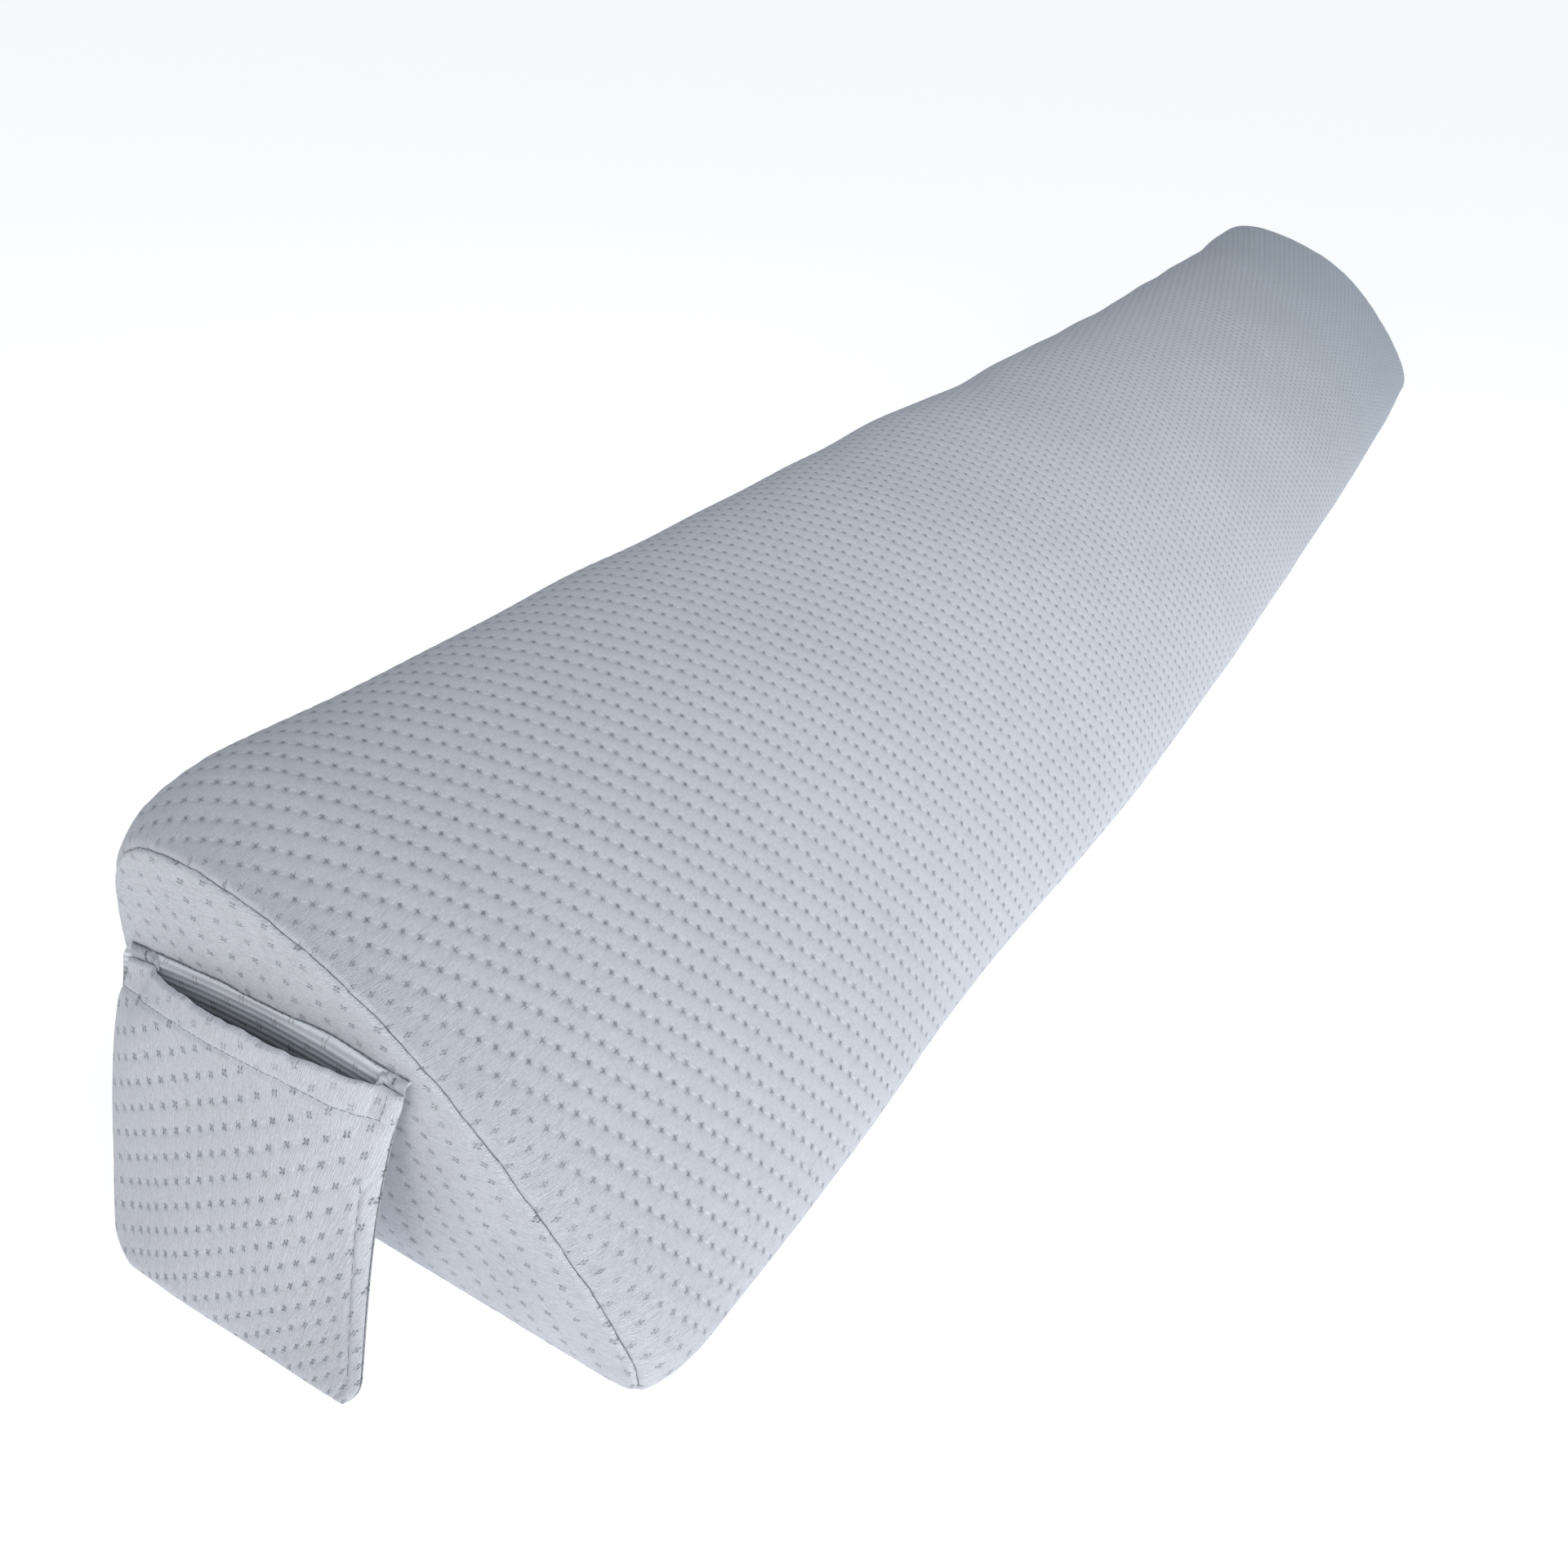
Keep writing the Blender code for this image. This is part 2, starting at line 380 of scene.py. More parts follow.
def two_sided_sheet(name, front, back, uv_grids, materials):
    """A closed cloth from its front and back grids: their quads and a rim that joins them."""
    rows, columns = front.shape[:2]
    count = rows * columns
    points = np.concatenate([front.reshape(-1, 3), back.reshape(-1, 3)])
    quads = grid_corners(rows, columns, False)
    numbers = np.arange(count).reshape(rows, columns)
    border = np.concatenate([numbers[0, :], numbers[1:, -1], numbers[-1, -2::-1], numbers[-2:0:-1, 0]])
    after = np.roll(border, -1)
    rim = np.stack([after, border, border + count, after + count], axis=-1)
    faces = np.concatenate([quads, quads[:, ::-1] + count, rim])
    uvs = {}
    for label, values in uv_grids.items():
        flat = np.concatenate([values.reshape(-1, 2)] * 2)
        uvs[label] = flat[faces].reshape(-1, 2)
    of_face = np.concatenate([np.zeros(len(quads)), np.ones(len(quads)), np.zeros(len(rim))])
    return add_piece(name, points, [faces], uvs, materials, of_face)


def cloth_uvs(lattice, slack, down):
    """The knit's two UV maps: its lattice numbers, and how slack and how far down the cloth is."""
    return {"knit": lattice, "ease": np.stack([slack, down], axis=-1)}


def turn_out(piece):
    """Turns a closed piece's faces outwards if its volume comes out negative."""
    shell = bmesh.new()
    shell.from_mesh(piece.data)
    if shell.calc_volume(signed=True) < 0:
        piece.data.flip_normals()
    shell.free()
    return piece


def stitch_row(name, centres, along, out, size, material):
    """Many small stitches as one mesh: each a short rod with rounded ends, laid on the cloth.

    A rod is six rings of six points, whose width follows a half circle at each end.
    """
    length, width, height = size
    reach = np.array([-1.0, -0.86, -0.45, 0.45, 0.86, 1.0])
    girth = np.array([0.12, 0.72, 1.0, 1.0, 0.72, 0.12])
    ring_side = np.outer(girth, np.cos(SIX_TURNS)) * width / 2
    ring_up = np.outer(girth, np.sin(SIX_TURNS)) * height / 2
    ring_along = np.repeat(reach[:, None], 6, axis=1) * length / 2
    side = np.cross(out, along)
    local = (
        ring_along[None, ..., None] * along[:, None, None, :]
        + ring_side[None, ..., None] * side[:, None, None, :]
        + ring_up[None, ..., None] * out[:, None, None, :]
    )
    points = (centres[:, None, None, :] + local).reshape(-1, 3)
    quads = grid_corners(6, 6, True)
    ends = np.array([[0, 1, 2, 3, 4, 5], [35, 34, 33, 32, 31, 30]])
    offsets = np.arange(len(centres))[:, None, None] * 36
    faces = [(quads[None] + offsets).reshape(-1, 4), (ends[None] + offsets).reshape(-1, 6)]
    return turn_out(add_piece(name, points, faces, None, [material]))


def unit(vectors):
    """Vectors of length one."""
    return vectors / np.linalg.norm(vectors, axis=-1, keepdims=True)


def round_thread(points, out, side, radius):
    """Rings of six points round a line: its radius times the cosine and sine on two directions."""
    first, second = np.cos(SIX_TURNS)[None, :, None], np.sin(SIX_TURNS)[None, :, None]
    return points[:, None] + radius[:, None, None] * (first * out[:, None] + second * side[:, None])


# Materials


class Field:
    """A number that varies over a surface. Its operators add Math nodes to its paint."""

    def __init__(self, paint, socket):
        self.paint = paint
        self.socket = socket

    def __add__(self, other):
        return self.paint.maths("ADD", self, other)

    __radd__ = __add__

    def __sub__(self, other):
        return self.paint.maths("SUBTRACT", self, other)

    def __rsub__(self, other):
        return self.paint.maths("SUBTRACT", other, self)

    def __mul__(self, other):
        return self.paint.maths("MULTIPLY", self, other)

    __rmul__ = __mul__

    def __truediv__(self, other):
        return self.paint.maths("DIVIDE", self, other)

    def __pow__(self, other):
        return self.paint.maths("POWER", self, other)


class Paint:
    """The nodes of one material, or of the surround."""

    def __init__(self, owner):
        self.owner = owner
        owner.use_nodes = True
        self.tree = owner.node_tree
        self.tree.nodes.clear()

    def node(self, kind, settings=None, sockets=None):
        """Adds a node: its settings first, then a value or a link for each named socket."""
        made = self.tree.nodes.new(kind)
        for label, value in (settings or {}).items():
            setattr(made, label, value)
        for label, value in (sockets or {}).items():
            socket = made.inputs[label]
            if isinstance(value, Field):
                value = value.socket
            if isinstance(value, bpy.types.NodeSocket):
                self.tree.links.new(value, socket)
            else:
                socket.default_value = value
        return made

    def maths(self, operation, *values):
        """One Math node on fields and numbers."""
        sockets = dict(enumerate(values))
        return Field(self, self.node("ShaderNodeMath", {"operation": operation}, sockets).outputs[0])

    def split(self, vector):
        """The first two parts of a vector, as fields."""
        parts = self.node("ShaderNodeSeparateXYZ", {}, {"Vector": vector})
        return Field(self, parts.outputs["X"]), Field(self, parts.outputs["Y"])

    def join(self, x, y):
        """A vector from two fields."""
        return self.node("ShaderNodeCombineXYZ", {}, {"X": x, "Y": y}).outputs["Vector"]

    def place(self):
        """Where a point lies in its piece's own coordinates."""
        return self.node("ShaderNodeTexCoord").outputs["Object"]

    def uv(self, name):
        """The two numbers of a UV map, as fields."""
        return self.split(self.node("ShaderNodeUVMap", {"uv_map": name}).outputs["UV"])

    def fade(self, value, start, end):
        """Smooth fall of a field from one at start to nothing at end."""
        settings = {"interpolation_type": "SMOOTHSTEP", "clamp": True}
        sockets = {"Value": value, "From Min": start, "From Max": end, "To Min": 1.0, "To Max": 0.0}
        return Field(self, self.node("ShaderNodeMapRange", settings, sockets).outputs["Result"])

    def noise(self, vector, scale, detail=2.0):
        """Soft noise from nothing to one."""
        sockets = {"Vector": vector, "Scale": scale, "Detail": detail}
        return Field(self, self.node("ShaderNodeTexNoise", {}, sockets).outputs["Fac"])

    def bell(self, squared_way, radius):
        """One at a point, falling with an exponential of the squared way over the squared radius."""
        return self.maths("EXPONENT", squared_way * (-1.0 / radius ** 2))

    def surface(self, sockets):
        """A Principled surface with these sockets, as the material's output."""
        made = self.node("ShaderNodeBsdfPrincipled", {}, sockets)
        self.node("ShaderNodeOutputMaterial", {}, {"Surface": made.outputs["BSDF"]})
        return self.owner

    def finish(self, colour, roughness, height, sheen, sheen_tint):
        """Cloth from a colour, a roughness and a height in millimetres."""
        bump = self.node("ShaderNodeBump", {}, {"Height": height, "Distance": 0.001, "Strength": 1.0})
        return self.surface({
            "Base Color": colour, "Roughness": roughness, "Normal": bump.outputs["Normal"],
            "Sheen Weight": sheen, "Sheen Roughness": 0.45, "Sheen Tint": sheen_tint,
            "Specular IOR Level": 0.2,
        })


KNIT_COLOUR = (0.574, 0.598, 0.650, 1.0)
# Painted shade: the cover's colour towards the far end, bluer, where less of the lamps' light reaches.
FAR_SHADED_KNIT_COLOUR = (0.540, 0.600, 0.682, 1.0)
DOT_COLOUR = (0.050, 0.072, 0.115, 1.0)
KNIT_SHEEN = (0.85, 0.9, 1.0, 1.0)

# Sizes of a dot's parts, in millimetres. A stroke has its middle and its half size across and
# along. The cross has where its arms fade across and out. The shake displaces them.
STROKE_ACROSS = (0.60, 0.29)
STROKE_ALONG = (0.80, 0.58)
CROSS_WIDTH = (0.10, 0.50)
CROSS_REACH = (1.2, 2.1)
DOT_SHAKE = 1.3
DIMPLE_RADIUS = 1.5
CORE_RADIUS = 0.80
# Painted highlight: the radius of the pale spot on the row between two dots, where the puffed cloth
# catches the light.
PAINTED_HIGHLIGHT_RADIUS = 0.55


def new_paint(name):
    """An empty material with its paint."""
    return Paint(bpy.data.materials.new(name))


def heading(degrees):
    """The two parts of a direction, turned by some degrees from the first."""
    return math.cos(math.radians(degrees)), math.sin(math.radians(degrees))


def scaled_colour(paint, colour, factor):
    """A colour times a field, by a Vector Math node."""
    sockets = {0: colour, "Scale": factor}
    return paint.node("ShaderNodeVectorMath", {"operation": "SCALE"}, sockets).outputs[0]


def mixed_colour(paint, share, first, second):
    """One colour turned into another by a field, with a Mix node."""
    sockets = {0: share, 6: first, 7: second}
    return paint.node("ShaderNodeMix", {"data_type": "RGBA"}, sockets).outputs[2]


def knit_fields(paint, knit, stroke_turns, spread):
    """What the knit's dots give at a point: strokes, a cross, a dimple and a furrow.

    The UV holds lattice numbers. Their distance from the nearest whole numbers, times the
    lattice steps in millimetres, is the way to the nearest dot. It is split along two turned
    directions, and four short strokes come from one by taking the parts without their signs.
    Where the cloth is slack the strokes draw together by the spread and into a small cross,
    and a pale spot is painted on the row between two dots: a painted highlight on the puffed
    cloth there.
    """
    along, row = paint.uv("knit")
    slack, down = paint.uv("ease")
    whole_along, whole_row = paint.maths("ROUND", along), paint.maths("ROUND", row)
    rest_along, rest_row = along - whole_along, row - whole_row
    (a, b), (c, d) = [[1000 * part for part in knit[key]] for key in ("dot_step", "row_step")]
    first, second = rest_along * a + rest_row * c, rest_along * b + rest_row * d
    cell = {"Vector": paint.join(whole_along, whole_row)}
    drawn = paint.node("ShaderNodeTexWhiteNoise", {"noise_dimensions": "2D"}, cell)
    chance = Field(paint, drawn.outputs["Value"])
    shake = paint.join(along * 7.0, row * 9.0)
    first = first + (paint.noise(shake, 1.0, 1.0) - 0.5) * DOT_SHAKE
    second = second + (paint.noise(shake, 1.37, 1.0) - 0.5) * DOT_SHAKE
    (long_x, long_y), (side_x, side_y) = [heading(turn) for turn in stroke_turns]
    size = long_x * side_y - long_y * side_x
    long_way = paint.maths("ABSOLUTE", (first * side_y - second * side_x) / size)
    side_way = paint.maths("ABSOLUTE", (second * long_x - first * long_y) / size)
    width = 1.0 - slack * (1.0 - spread)
    far_side = (side_way - width * STROKE_ACROSS[0]) / (width * STROKE_ACROSS[1])
    far_end = (long_way - width * STROKE_ALONG[0]) / (width * STROKE_ALONG[1])
    distance = paint.maths("SQRT", far_side * far_side + far_end * far_end)
    strokes = paint.fade(distance, 0.55, 1.45) * (0.70 + chance * 0.30)
    round_way = first * first + second * second
    off_arm = paint.maths("ABSOLUTE", long_way * 0.62 - side_way * 0.78)
    reach = paint.maths("SQRT", round_way)
    cross = paint.fade(off_arm, *CROSS_WIDTH) * paint.fade(reach + chance * 0.5, *CROSS_REACH)
    between = (paint.maths("ABSOLUTE", rest_along) - 0.42) * math.hypot(a, b)
    across = rest_row * math.hypot(c, d)
    return {
        "along": along, "row": row, "slack": slack, "down": down, "strokes": strokes, "cross": cross,
        "dimple": paint.bell(round_way, DIMPLE_RADIUS),
        "core": paint.bell(round_way, CORE_RADIUS),
        "painted_highlight": paint.bell(between * between + across * across, PAINTED_HIGHLIGHT_RADIUS),
        "furrow": (paint.maths("COSINE", row * (2 * math.pi)) * 0.5 + 0.5) ** 2.0,
        "chance": chance, "steps": ((a, b), (c, d)),
    }


def fine_ribs(paint, fields, rib_turn, pitch):
    """Fine ribs of the knit: a sine across a turned direction, disturbed and thinned by noise."""
    (a, b), (c, d) = fields["steps"]
    cosine, sine = heading(rib_turn)
    across = fields["along"] * (a * cosine + b * sine) + fields["row"] * (c * cosine + d * sine)
    along = fields["row"] * (d * cosine - c * sine) + fields["along"] * (b * cosine - a * sine)
    place = paint.join(across * 1.1, along * 0.30)
    shake = paint.noise(place, 1.0, 2.0)
    ribs = paint.maths("SINE", across * (2 * math.pi / pitch) + shake * 11.0)
    thin = paint.noise(place, 0.6, 1.0)
    return ribs * (thin * 2.4 - 0.2), shake


def knit_cloth(name, knit, stroke_turns, rib_turn, rib_strength, rib_pitch, darkness, spread=1.0):
    """The face of the knit, with its dots, dimples, furrows, fine ribs and slight unevenness.

    The dots are fainter on the hem, where the cloth is turned over and pulled flat, and nearly
    gone on the mouth's corners, whose distance down is given as minus one. The colour turns
    slightly bluer towards the far end: painted shade, where less of the lamps' light reaches.
    The dimples and furrows are painted a little darker, as painted shade, and a painted highlight
    lies on the row between two dots.
    """
    paint = new_paint(name)
    fields = knit_fields(paint, knit, stroke_turns, spread)
    place = paint.place()
    ribs, streak = fine_ribs(paint, fields, rib_turn, rib_pitch)
    broad = paint.noise(place, 9.0, 2.0)
    close = paint.noise(place, 1300.0, 2.0)
    slack = fields["slack"]
    strokes, cross, dimple, furrow, core = (
        fields[key] for key in ("strokes", "cross", "dimple", "furrow", "core")
    )
    on_hem = paint.fade(fields["down"], 0.85 * HEM, 1.15 * HEM)
    on_corner = paint.fade(fields["down"], -0.6, -0.4)
    clear = (1.0 - on_hem * 0.45 - on_corner * 0.50) * darkness
    marks = strokes * (1.0 - slack * 0.62) * 0.66 + cross * slack * (0.30 + fields["chance"] * 0.14)
    cored = core * (0.20 + slack * 0.12) * clear
    dark = 1.0 - (1.0 - marks * clear) * (1.0 - cored)
    # Painted shade: the colour darkens in each dot's dimple and along the furrows, where shade falls in
    # the quilting.
    shade = (1.0 - dimple * 0.03) * (1.0 - furrow * slack * 0.03)
    shade = shade * (0.97 + broad * 0.06) * (0.81 + close * 0.38) * (0.93 + streak * 0.14)
    # The pale spot between two dots is a painted highlight on the puffed cloth; the ribs are the knit's
    # own.
    shade = shade * (1.0 + ribs * rib_strength + fields["painted_highlight"] * slack * 0.24)
    height = close * 0.06 + ribs * 0.05 - dimple * slack * 0.42 - furrow * slack * 0.12 - strokes * 0.05
    roughness = 0.86 + strokes * 0.06
    # Painted shade: the colour turns bluer towards the far end, where less of the lamps' light reaches.
    _, length_way = paint.split(place)
    far = 1.0 - paint.fade(length_way, 0.10, HALF)
    colour = mixed_colour(paint, far, KNIT_COLOUR, FAR_SHADED_KNIT_COLOUR)
    colour = scaled_colour(paint, mixed_colour(paint, dark, colour, DOT_COLOUR), shade)
    return paint.finish(colour, roughness, height, 0.25, KNIT_SHEEN)


def reverse_cloth(name, knit, colour, stripe_pitch):
    """The knit's reverse: soft ribs along the mouth, pale and dark, with a few dots through it."""
    paint = new_paint(name)
    fields = knit_fields(paint, knit, stroke_turns=(80, 0), spread=0.8)
    down, place = fields["down"], paint.place()
    shake = paint.noise(place, 60.0, 2.0)
    close = paint.noise(place, 800.0, 2.0)
    stripe = paint.maths("SINE", down * (2 * math.pi / stripe_pitch) + shake * 1.6)
    # Painted light and shade: the reverse is painted bright near its top edge, where light reaches into
    # the mouth, and dark further down in the pocket. Its ribs are painted with more contrast in the lit
    # band.
    painted_lit_top = paint.fade(down, 0.005, 0.013)
    shade = 0.62 + painted_lit_top * 0.54 + stripe * (0.07 + painted_lit_top * 0.13) + (close - 0.5) * 0.12
    shade = shade - fields["strokes"] * 0.46
    height = stripe * 0.16 + close * 0.05 - fields["strokes"] * 0.05
    colour = scaled_colour(paint, colour, shade)
    return paint.finish(colour, 0.85 + stripe * 0.02, height, 0.2, KNIT_SHEEN)


def thread_yarn(name, colour):
    """Sewing thread: a plain colour with a twist along it."""
    paint = new_paint(name)
    place = paint.place()
    twist = paint.noise(place, 1500.0, 1.0)
    colour = scaled_colour(paint, colour, 0.85 + twist * 0.3)
    return paint.finish(colour, 0.7 + twist * 0.1, twist * 0.05, 0.1, (1.0, 1.0, 1.0, 1.0))


def floor_paint():
    """Plain pale matt floor, with a little light of its own, as a lit white sweep has."""
    paint = new_paint("pale_floor")
    place = paint.place()
    speck = paint.noise(place, 30.0, 2.0)
    return paint.surface({
        "Base Color": scaled_colour(paint, (0.88, 0.885, 0.89), 0.995 + speck * 0.01),
        "Roughness": 0.92, "Specular IOR Level": 0.1,
        "Emission Color": (0.987, 1.0, 0.998, 1.0), "Emission Strength": 0.622,
    })


# The cloths. Their strokes and ribs are turned by these degrees from the surface's first direction.
cover_knit = knit_cloth(
    "cover_knit_cloth", COVER_KNIT, stroke_turns=(-25, 25), rib_turn=85,
    rib_strength=0.060, rib_pitch=0.56, darkness=0.92, spread=0.76,
)
panel_knit = knit_cloth(
    "panel_knit_cloth", PANEL_KNIT, stroke_turns=(-5, 75), rib_turn=88,
    rib_strength=0.085, rib_pitch=0.72, darkness=1.0,
)
pocket_knit = knit_cloth(
    "pocket_knit_cloth", POCKET_KNIT, stroke_turns=(84, -12), rib_turn=0,
    rib_strength=0.080, rib_pitch=0.75, darkness=1.15,
)
pocket_reverse = reverse_cloth("pocket_reverse_cloth", POCKET_KNIT, (0.60, 0.63, 0.68), 0.0026)
# The seam thread is painted dark: partly the thread's own colour and partly painted shade, standing for
# the shadow in a seam's groove.
seam_thread_and_shade = thread_yarn("seam_thread_and_shade", (0.17, 0.183, 0.215))
stitch_thread = thread_yarn("stitch_thread", (0.27, 0.29, 0.335))


# The knit cover


def round_places():
    """Places round the section, and how far each lies down the slope from the ridge.

    The distance is the sum of small steps along the full section at the near end. On the
    back, the ridge, the slope and the nose the places are a fixed part of a furrow apart, and
    on the base they are wide apart, since nothing shows there.
    """
    dense = np.linspace(FIRST_PLACE, LAST_PLACE, 2801)
    curve = section_points(np.array([-HALF + END_EASE]), dense)[0]
    distance = np.concatenate([[0.0], np.cumsum(np.linalg.norm(np.diff(curve, axis=0), axis=1))])
    distance = distance - distance[np.argmax(curve[:, 2])]
    start, end = np.interp([BACK_FOOT_PLACE, NOSE_FOOT_PLACE], dense, distance)
    step = furrow_lengths()[1] / COLUMNS_PER_FURROW
    shown = start + step * np.arange(int((end - start) / step) + 1)
    under_back = np.linspace(distance[0], start, int((start - distance[0]) / BASE_COLUMN) + 2)[:-1]
    under_nose = np.linspace(shown[-1], distance[-1], int((distance[-1] - end) / BASE_COLUMN) + 2)[1:]
    down = np.concatenate([under_back, shown, under_nose])
    return np.interp(down[:-1], distance, dense), down


def furrow_lengths():
    """How long a furrow's repeat is along the pillow and round it, from the two lattice steps."""
    (a, b), (c, d) = COVER_KNIT["dot_step"], COVER_KNIT["row_step"]
    size = abs(a * d - b * c)
    return size / abs(b), size / abs(a)


def seam_shift(distance):
    """Small kinks of a seam line, as an angle round the edge's rounding."""
    waves = [(0.0310, 0.050, 0.4), (0.0173, 0.040, 2.1), (0.0091, 0.030, 1.1), (0.0047, 0.024, 0.2)]
    return ripples(distance, waves)


def seam_puckers(distance, start):
    """Small pulls of the stitches, in metres, along a seam."""
    return ripples(distance, [
        (0.0127, 0.00022, start),
        (0.0193, 0.00022, 2 * start + 1.0),
        (0.0410, 0.00030, 3 * start + 0.5),
    ])


def edge_offsets(angle, seam_angle):
    """Rounded edge in the plane across the seam: how far in from the side and from the end.

    It is a quarter circle whose radius dips at the seam by an exponential of the distance.
    """
    dip = SEAM_DEPTH * np.exp(-np.abs(angle - seam_angle) * EDGE_RADIUS / SEAM_REACH)
    radius = EDGE_RADIUS - dip
    return EDGE_RADIUS - radius * np.cos(angle), EDGE_RADIUS - radius * np.sin(angle)


# Soft unevenness of the filled cover, along the pillow and round it, for uneven().
COVER_WAVES = [
    (0.310, 0.90, 0.00075, 0.3),
    (0.173, -0.60, 0.00050, 1.9),
    (0.097, 0.37, 0.00028, 4.0),
    (-0.230, 0.21, 0.00040, 2.6),
]

# The cloth that Blender fills: how strongly the foam holds it, how far in it starts, over how many
# frames it fills, how far it may move at most and how many columns it has.
FOAM_HOLD = 0.22
FOAM_INSET = 0.0009
FILL_FRAMES = 20
FILL_CAP = 0.005
FILL_COLUMNS = 68
FILLED_CLOTH = {
    "quality": 5, "mass": 0.3, "tension_stiffness": 60.0, "compression_stiffness": 60.0,
    "shear_stiffness": 30.0, "bending_stiffness": 8.0, "use_pressure": True,
    "uniform_pressure_force": 4.0, "vertex_group_mass": "held", "shrink_min": 0.0,
}


def simulate_cover(rows, places):
    """Blender's cloth, filled with air, on a coarse copy of the cover.

    The seams, the end faces and the base are held. Returns how far each coarse point moved,
    with the moves kept under a cap.
    """
    plain = section_points(rows, places)
    from_end = smooth_step(HALF - np.abs(rows), 0.0, 0.06)[:, None, None]
    start = plain - section_normals(plain) * FOAM_INSET * from_end
    start[..., 2] = np.maximum(start[..., 2], 0.0)
    piece = turn_out(capped_tube("cover_trial", start, {}, []))
    held = (np.abs(start[..., 1]) > HALF - 0.003) | (start[..., 2] < 0.0006)
    group = piece.vertex_groups.new(name="held")
    group.add(list(range(held.size)), FOAM_HOLD, "REPLACE")
    group.add(np.flatnonzero(held.ravel()).tolist() + [held.size, held.size + 1], 1.0, "REPLACE")
    cloth = piece.modifiers.new("filled", "CLOTH")
    for label, value in FILLED_CLOTH.items():
        setattr(cloth.settings, label, value)
    cloth.settings.effector_weights.gravity = 0.0
    cloth.collision_settings.use_collision = False
    scene = bpy.context.scene
    for number in range(1, FILL_FRAMES + 1):
        scene.frame_set(number)
    shaped = piece.evaluated_get(bpy.context.evaluated_depsgraph_get())
    moved = np.empty(len(piece.data.vertices) * 3, dtype=np.float32)
    shaped.to_mesh().vertices.foreach_get("co", moved)
    shaped.to_mesh_clear()
    moved = moved.reshape(-1, 3)[: held.size].reshape(start.shape).astype(float)
    scene.frame_set(1)
    bpy.data.objects.remove(piece, do_unlink=True)
    change = moved - plain
    size = np.linalg.norm(change, axis=-1, keepdims=True)
    return change * np.minimum(1.0, FILL_CAP / np.maximum(size, 1e-9))


def cover_fill(y, down, total):
    """The simulated moves carried from the coarse copy to the fine grid by a smooth spline."""
    near_end = HALF - np.array([0.0, 0.003, 0.007, 0.012, 0.018, 0.025, 0.034, 0.046, 0.060])
    between = np.linspace(-HALF + 0.075, HALF - 0.075, 96)
    rows = np.concatenate([-near_end, between, near_end[::-1]])
    coarse_down = down[0] + total * np.arange(FILL_COLUMNS) / FILL_COLUMNS
    places = np.interp(coarse_down, down, PLACE_AT_DOWN)
    change = simulate_cover(rows, places)
    along = spline_weights(np.interp(y, rows, np.arange(len(rows))), len(rows), False)
    round_it = spline_weights((down[:-1] - down[0]) / total * FILL_COLUMNS, FILL_COLUMNS, True)
    return np.einsum("ra,abk,cb->rck", along, change, round_it)


def cover_grid():
    """Rings and columns of the finished cover, with its UV maps.

    Between the ends each ring is the plain section moved out by the furrows and the soft
    unevenness. At each end the rings go round the edge to the seam, tuck in behind the panel
    and close in the end face.
    """
    ring_step = furrow_lengths()[0] / RINGS_PER_FURROW
    inside = HALF + PANEL_PROUD - EDGE_RADIUS
    count = int(2 * (inside - 0.0008) / ring_step)
    body_y = (np.arange(count + 1) - count / 2) * ring_step
    distance = DOWN[:-1]

    angles = np.linspace(0, 1, EDGE_RINGS)[:, None]
    seam = SEAM_ANGLE + seam_shift(distance)[None, :]
    side, end = edge_offsets(angles * seam, seam)

    near_y = -HALF - PANEL_PROUD + end
    far_y = HALF + PANEL_PROUD - end
    plain_y = np.concatenate([near_y[::-1].mean(axis=1), body_y, far_y.mean(axis=1)])
    grid = section_points(plain_y, PLACES)
    normals = section_normals(grid)
    grid[:EDGE_RINGS, :, 1] = near_y[::-1]
    grid[-EDGE_RINGS:, :, 1] = far_y
    inset = HALF + PANEL_PROUD - np.abs(grid[..., 1])

    drop = np.zeros(grid.shape[:2])
    drop[:EDGE_RINGS] = side[::-1]
    drop[-EDGE_RINGS:] = side
    off_floor = smooth_step(grid[..., 2], 0.002, 0.012)
    flat_reach = 0.009 + 0.022 * smooth_step(distance, 0.0, 0.27)
    slack = smooth_step(inset, 0.004, flat_reach) * off_floor
    lattice = knit_places(grid[..., 1], np.broadcast_to(distance, grid.shape[:2]), COVER_KNIT)
    rise = FURROW_DEPTH * (0.4 - furrow_shape(lattice[..., 1])) * slack
    rise = rise + uneven(grid[..., 1], distance, COVER_WAVES) * off_floor * smooth_step(inset, 0.0, 0.05)
    pulls = np.where(grid[..., 1] < 0, seam_puckers(distance, 0.7), seam_puckers(distance, 1.9))
    rise = rise + pulls * off_floor * np.exp(-inset / 0.011) * smooth_step(inset, 0.0023, 0.005)
    filled = cover_fill(plain_y, DOWN, DOWN[-1] - DOWN[0])
    grid = grid + filled * off_floor[..., None] + normals * (rise - drop)[..., None]
    grid[..., 2] = np.maximum(grid[..., 2], 0.0)

    def closing(ring, sign):
        """Rings from the seam to the middle of an end face, just behind the panel."""
        rings = []
        for spread, beyond in END_FACE_RINGS:
            inner = END_MIDDLE + (ring - END_MIDDLE) * spread
            inner[:, 1] = sign * (HALF + beyond)
            rings.append(inner)
        return rings

    near_rings, far_rings = closing(grid[0], -1), closing(grid[-1], 1)
    grid = np.concatenate([near_rings[::-1], grid, far_rings])
    filler = len(near_rings)

    wide = np.broadcast_to(DOWN, (len(plain_y), len(DOWN)))
    y_wide = np.hstack([grid[filler:-filler, :, 1], grid[filler:-filler, :1, 1]])
    lattice = knit_places(y_wide, wide, COVER_KNIT)
    slack = np.hstack([slack, slack[:, :1]])
    uvs = cloth_uvs(lattice, slack, np.ones(slack.shape))
    for label, values in uvs.items():
        uvs[label] = np.concatenate([values[:1]] * filler + [values] + [values[-1:]] * filler)
    return grid, uvs


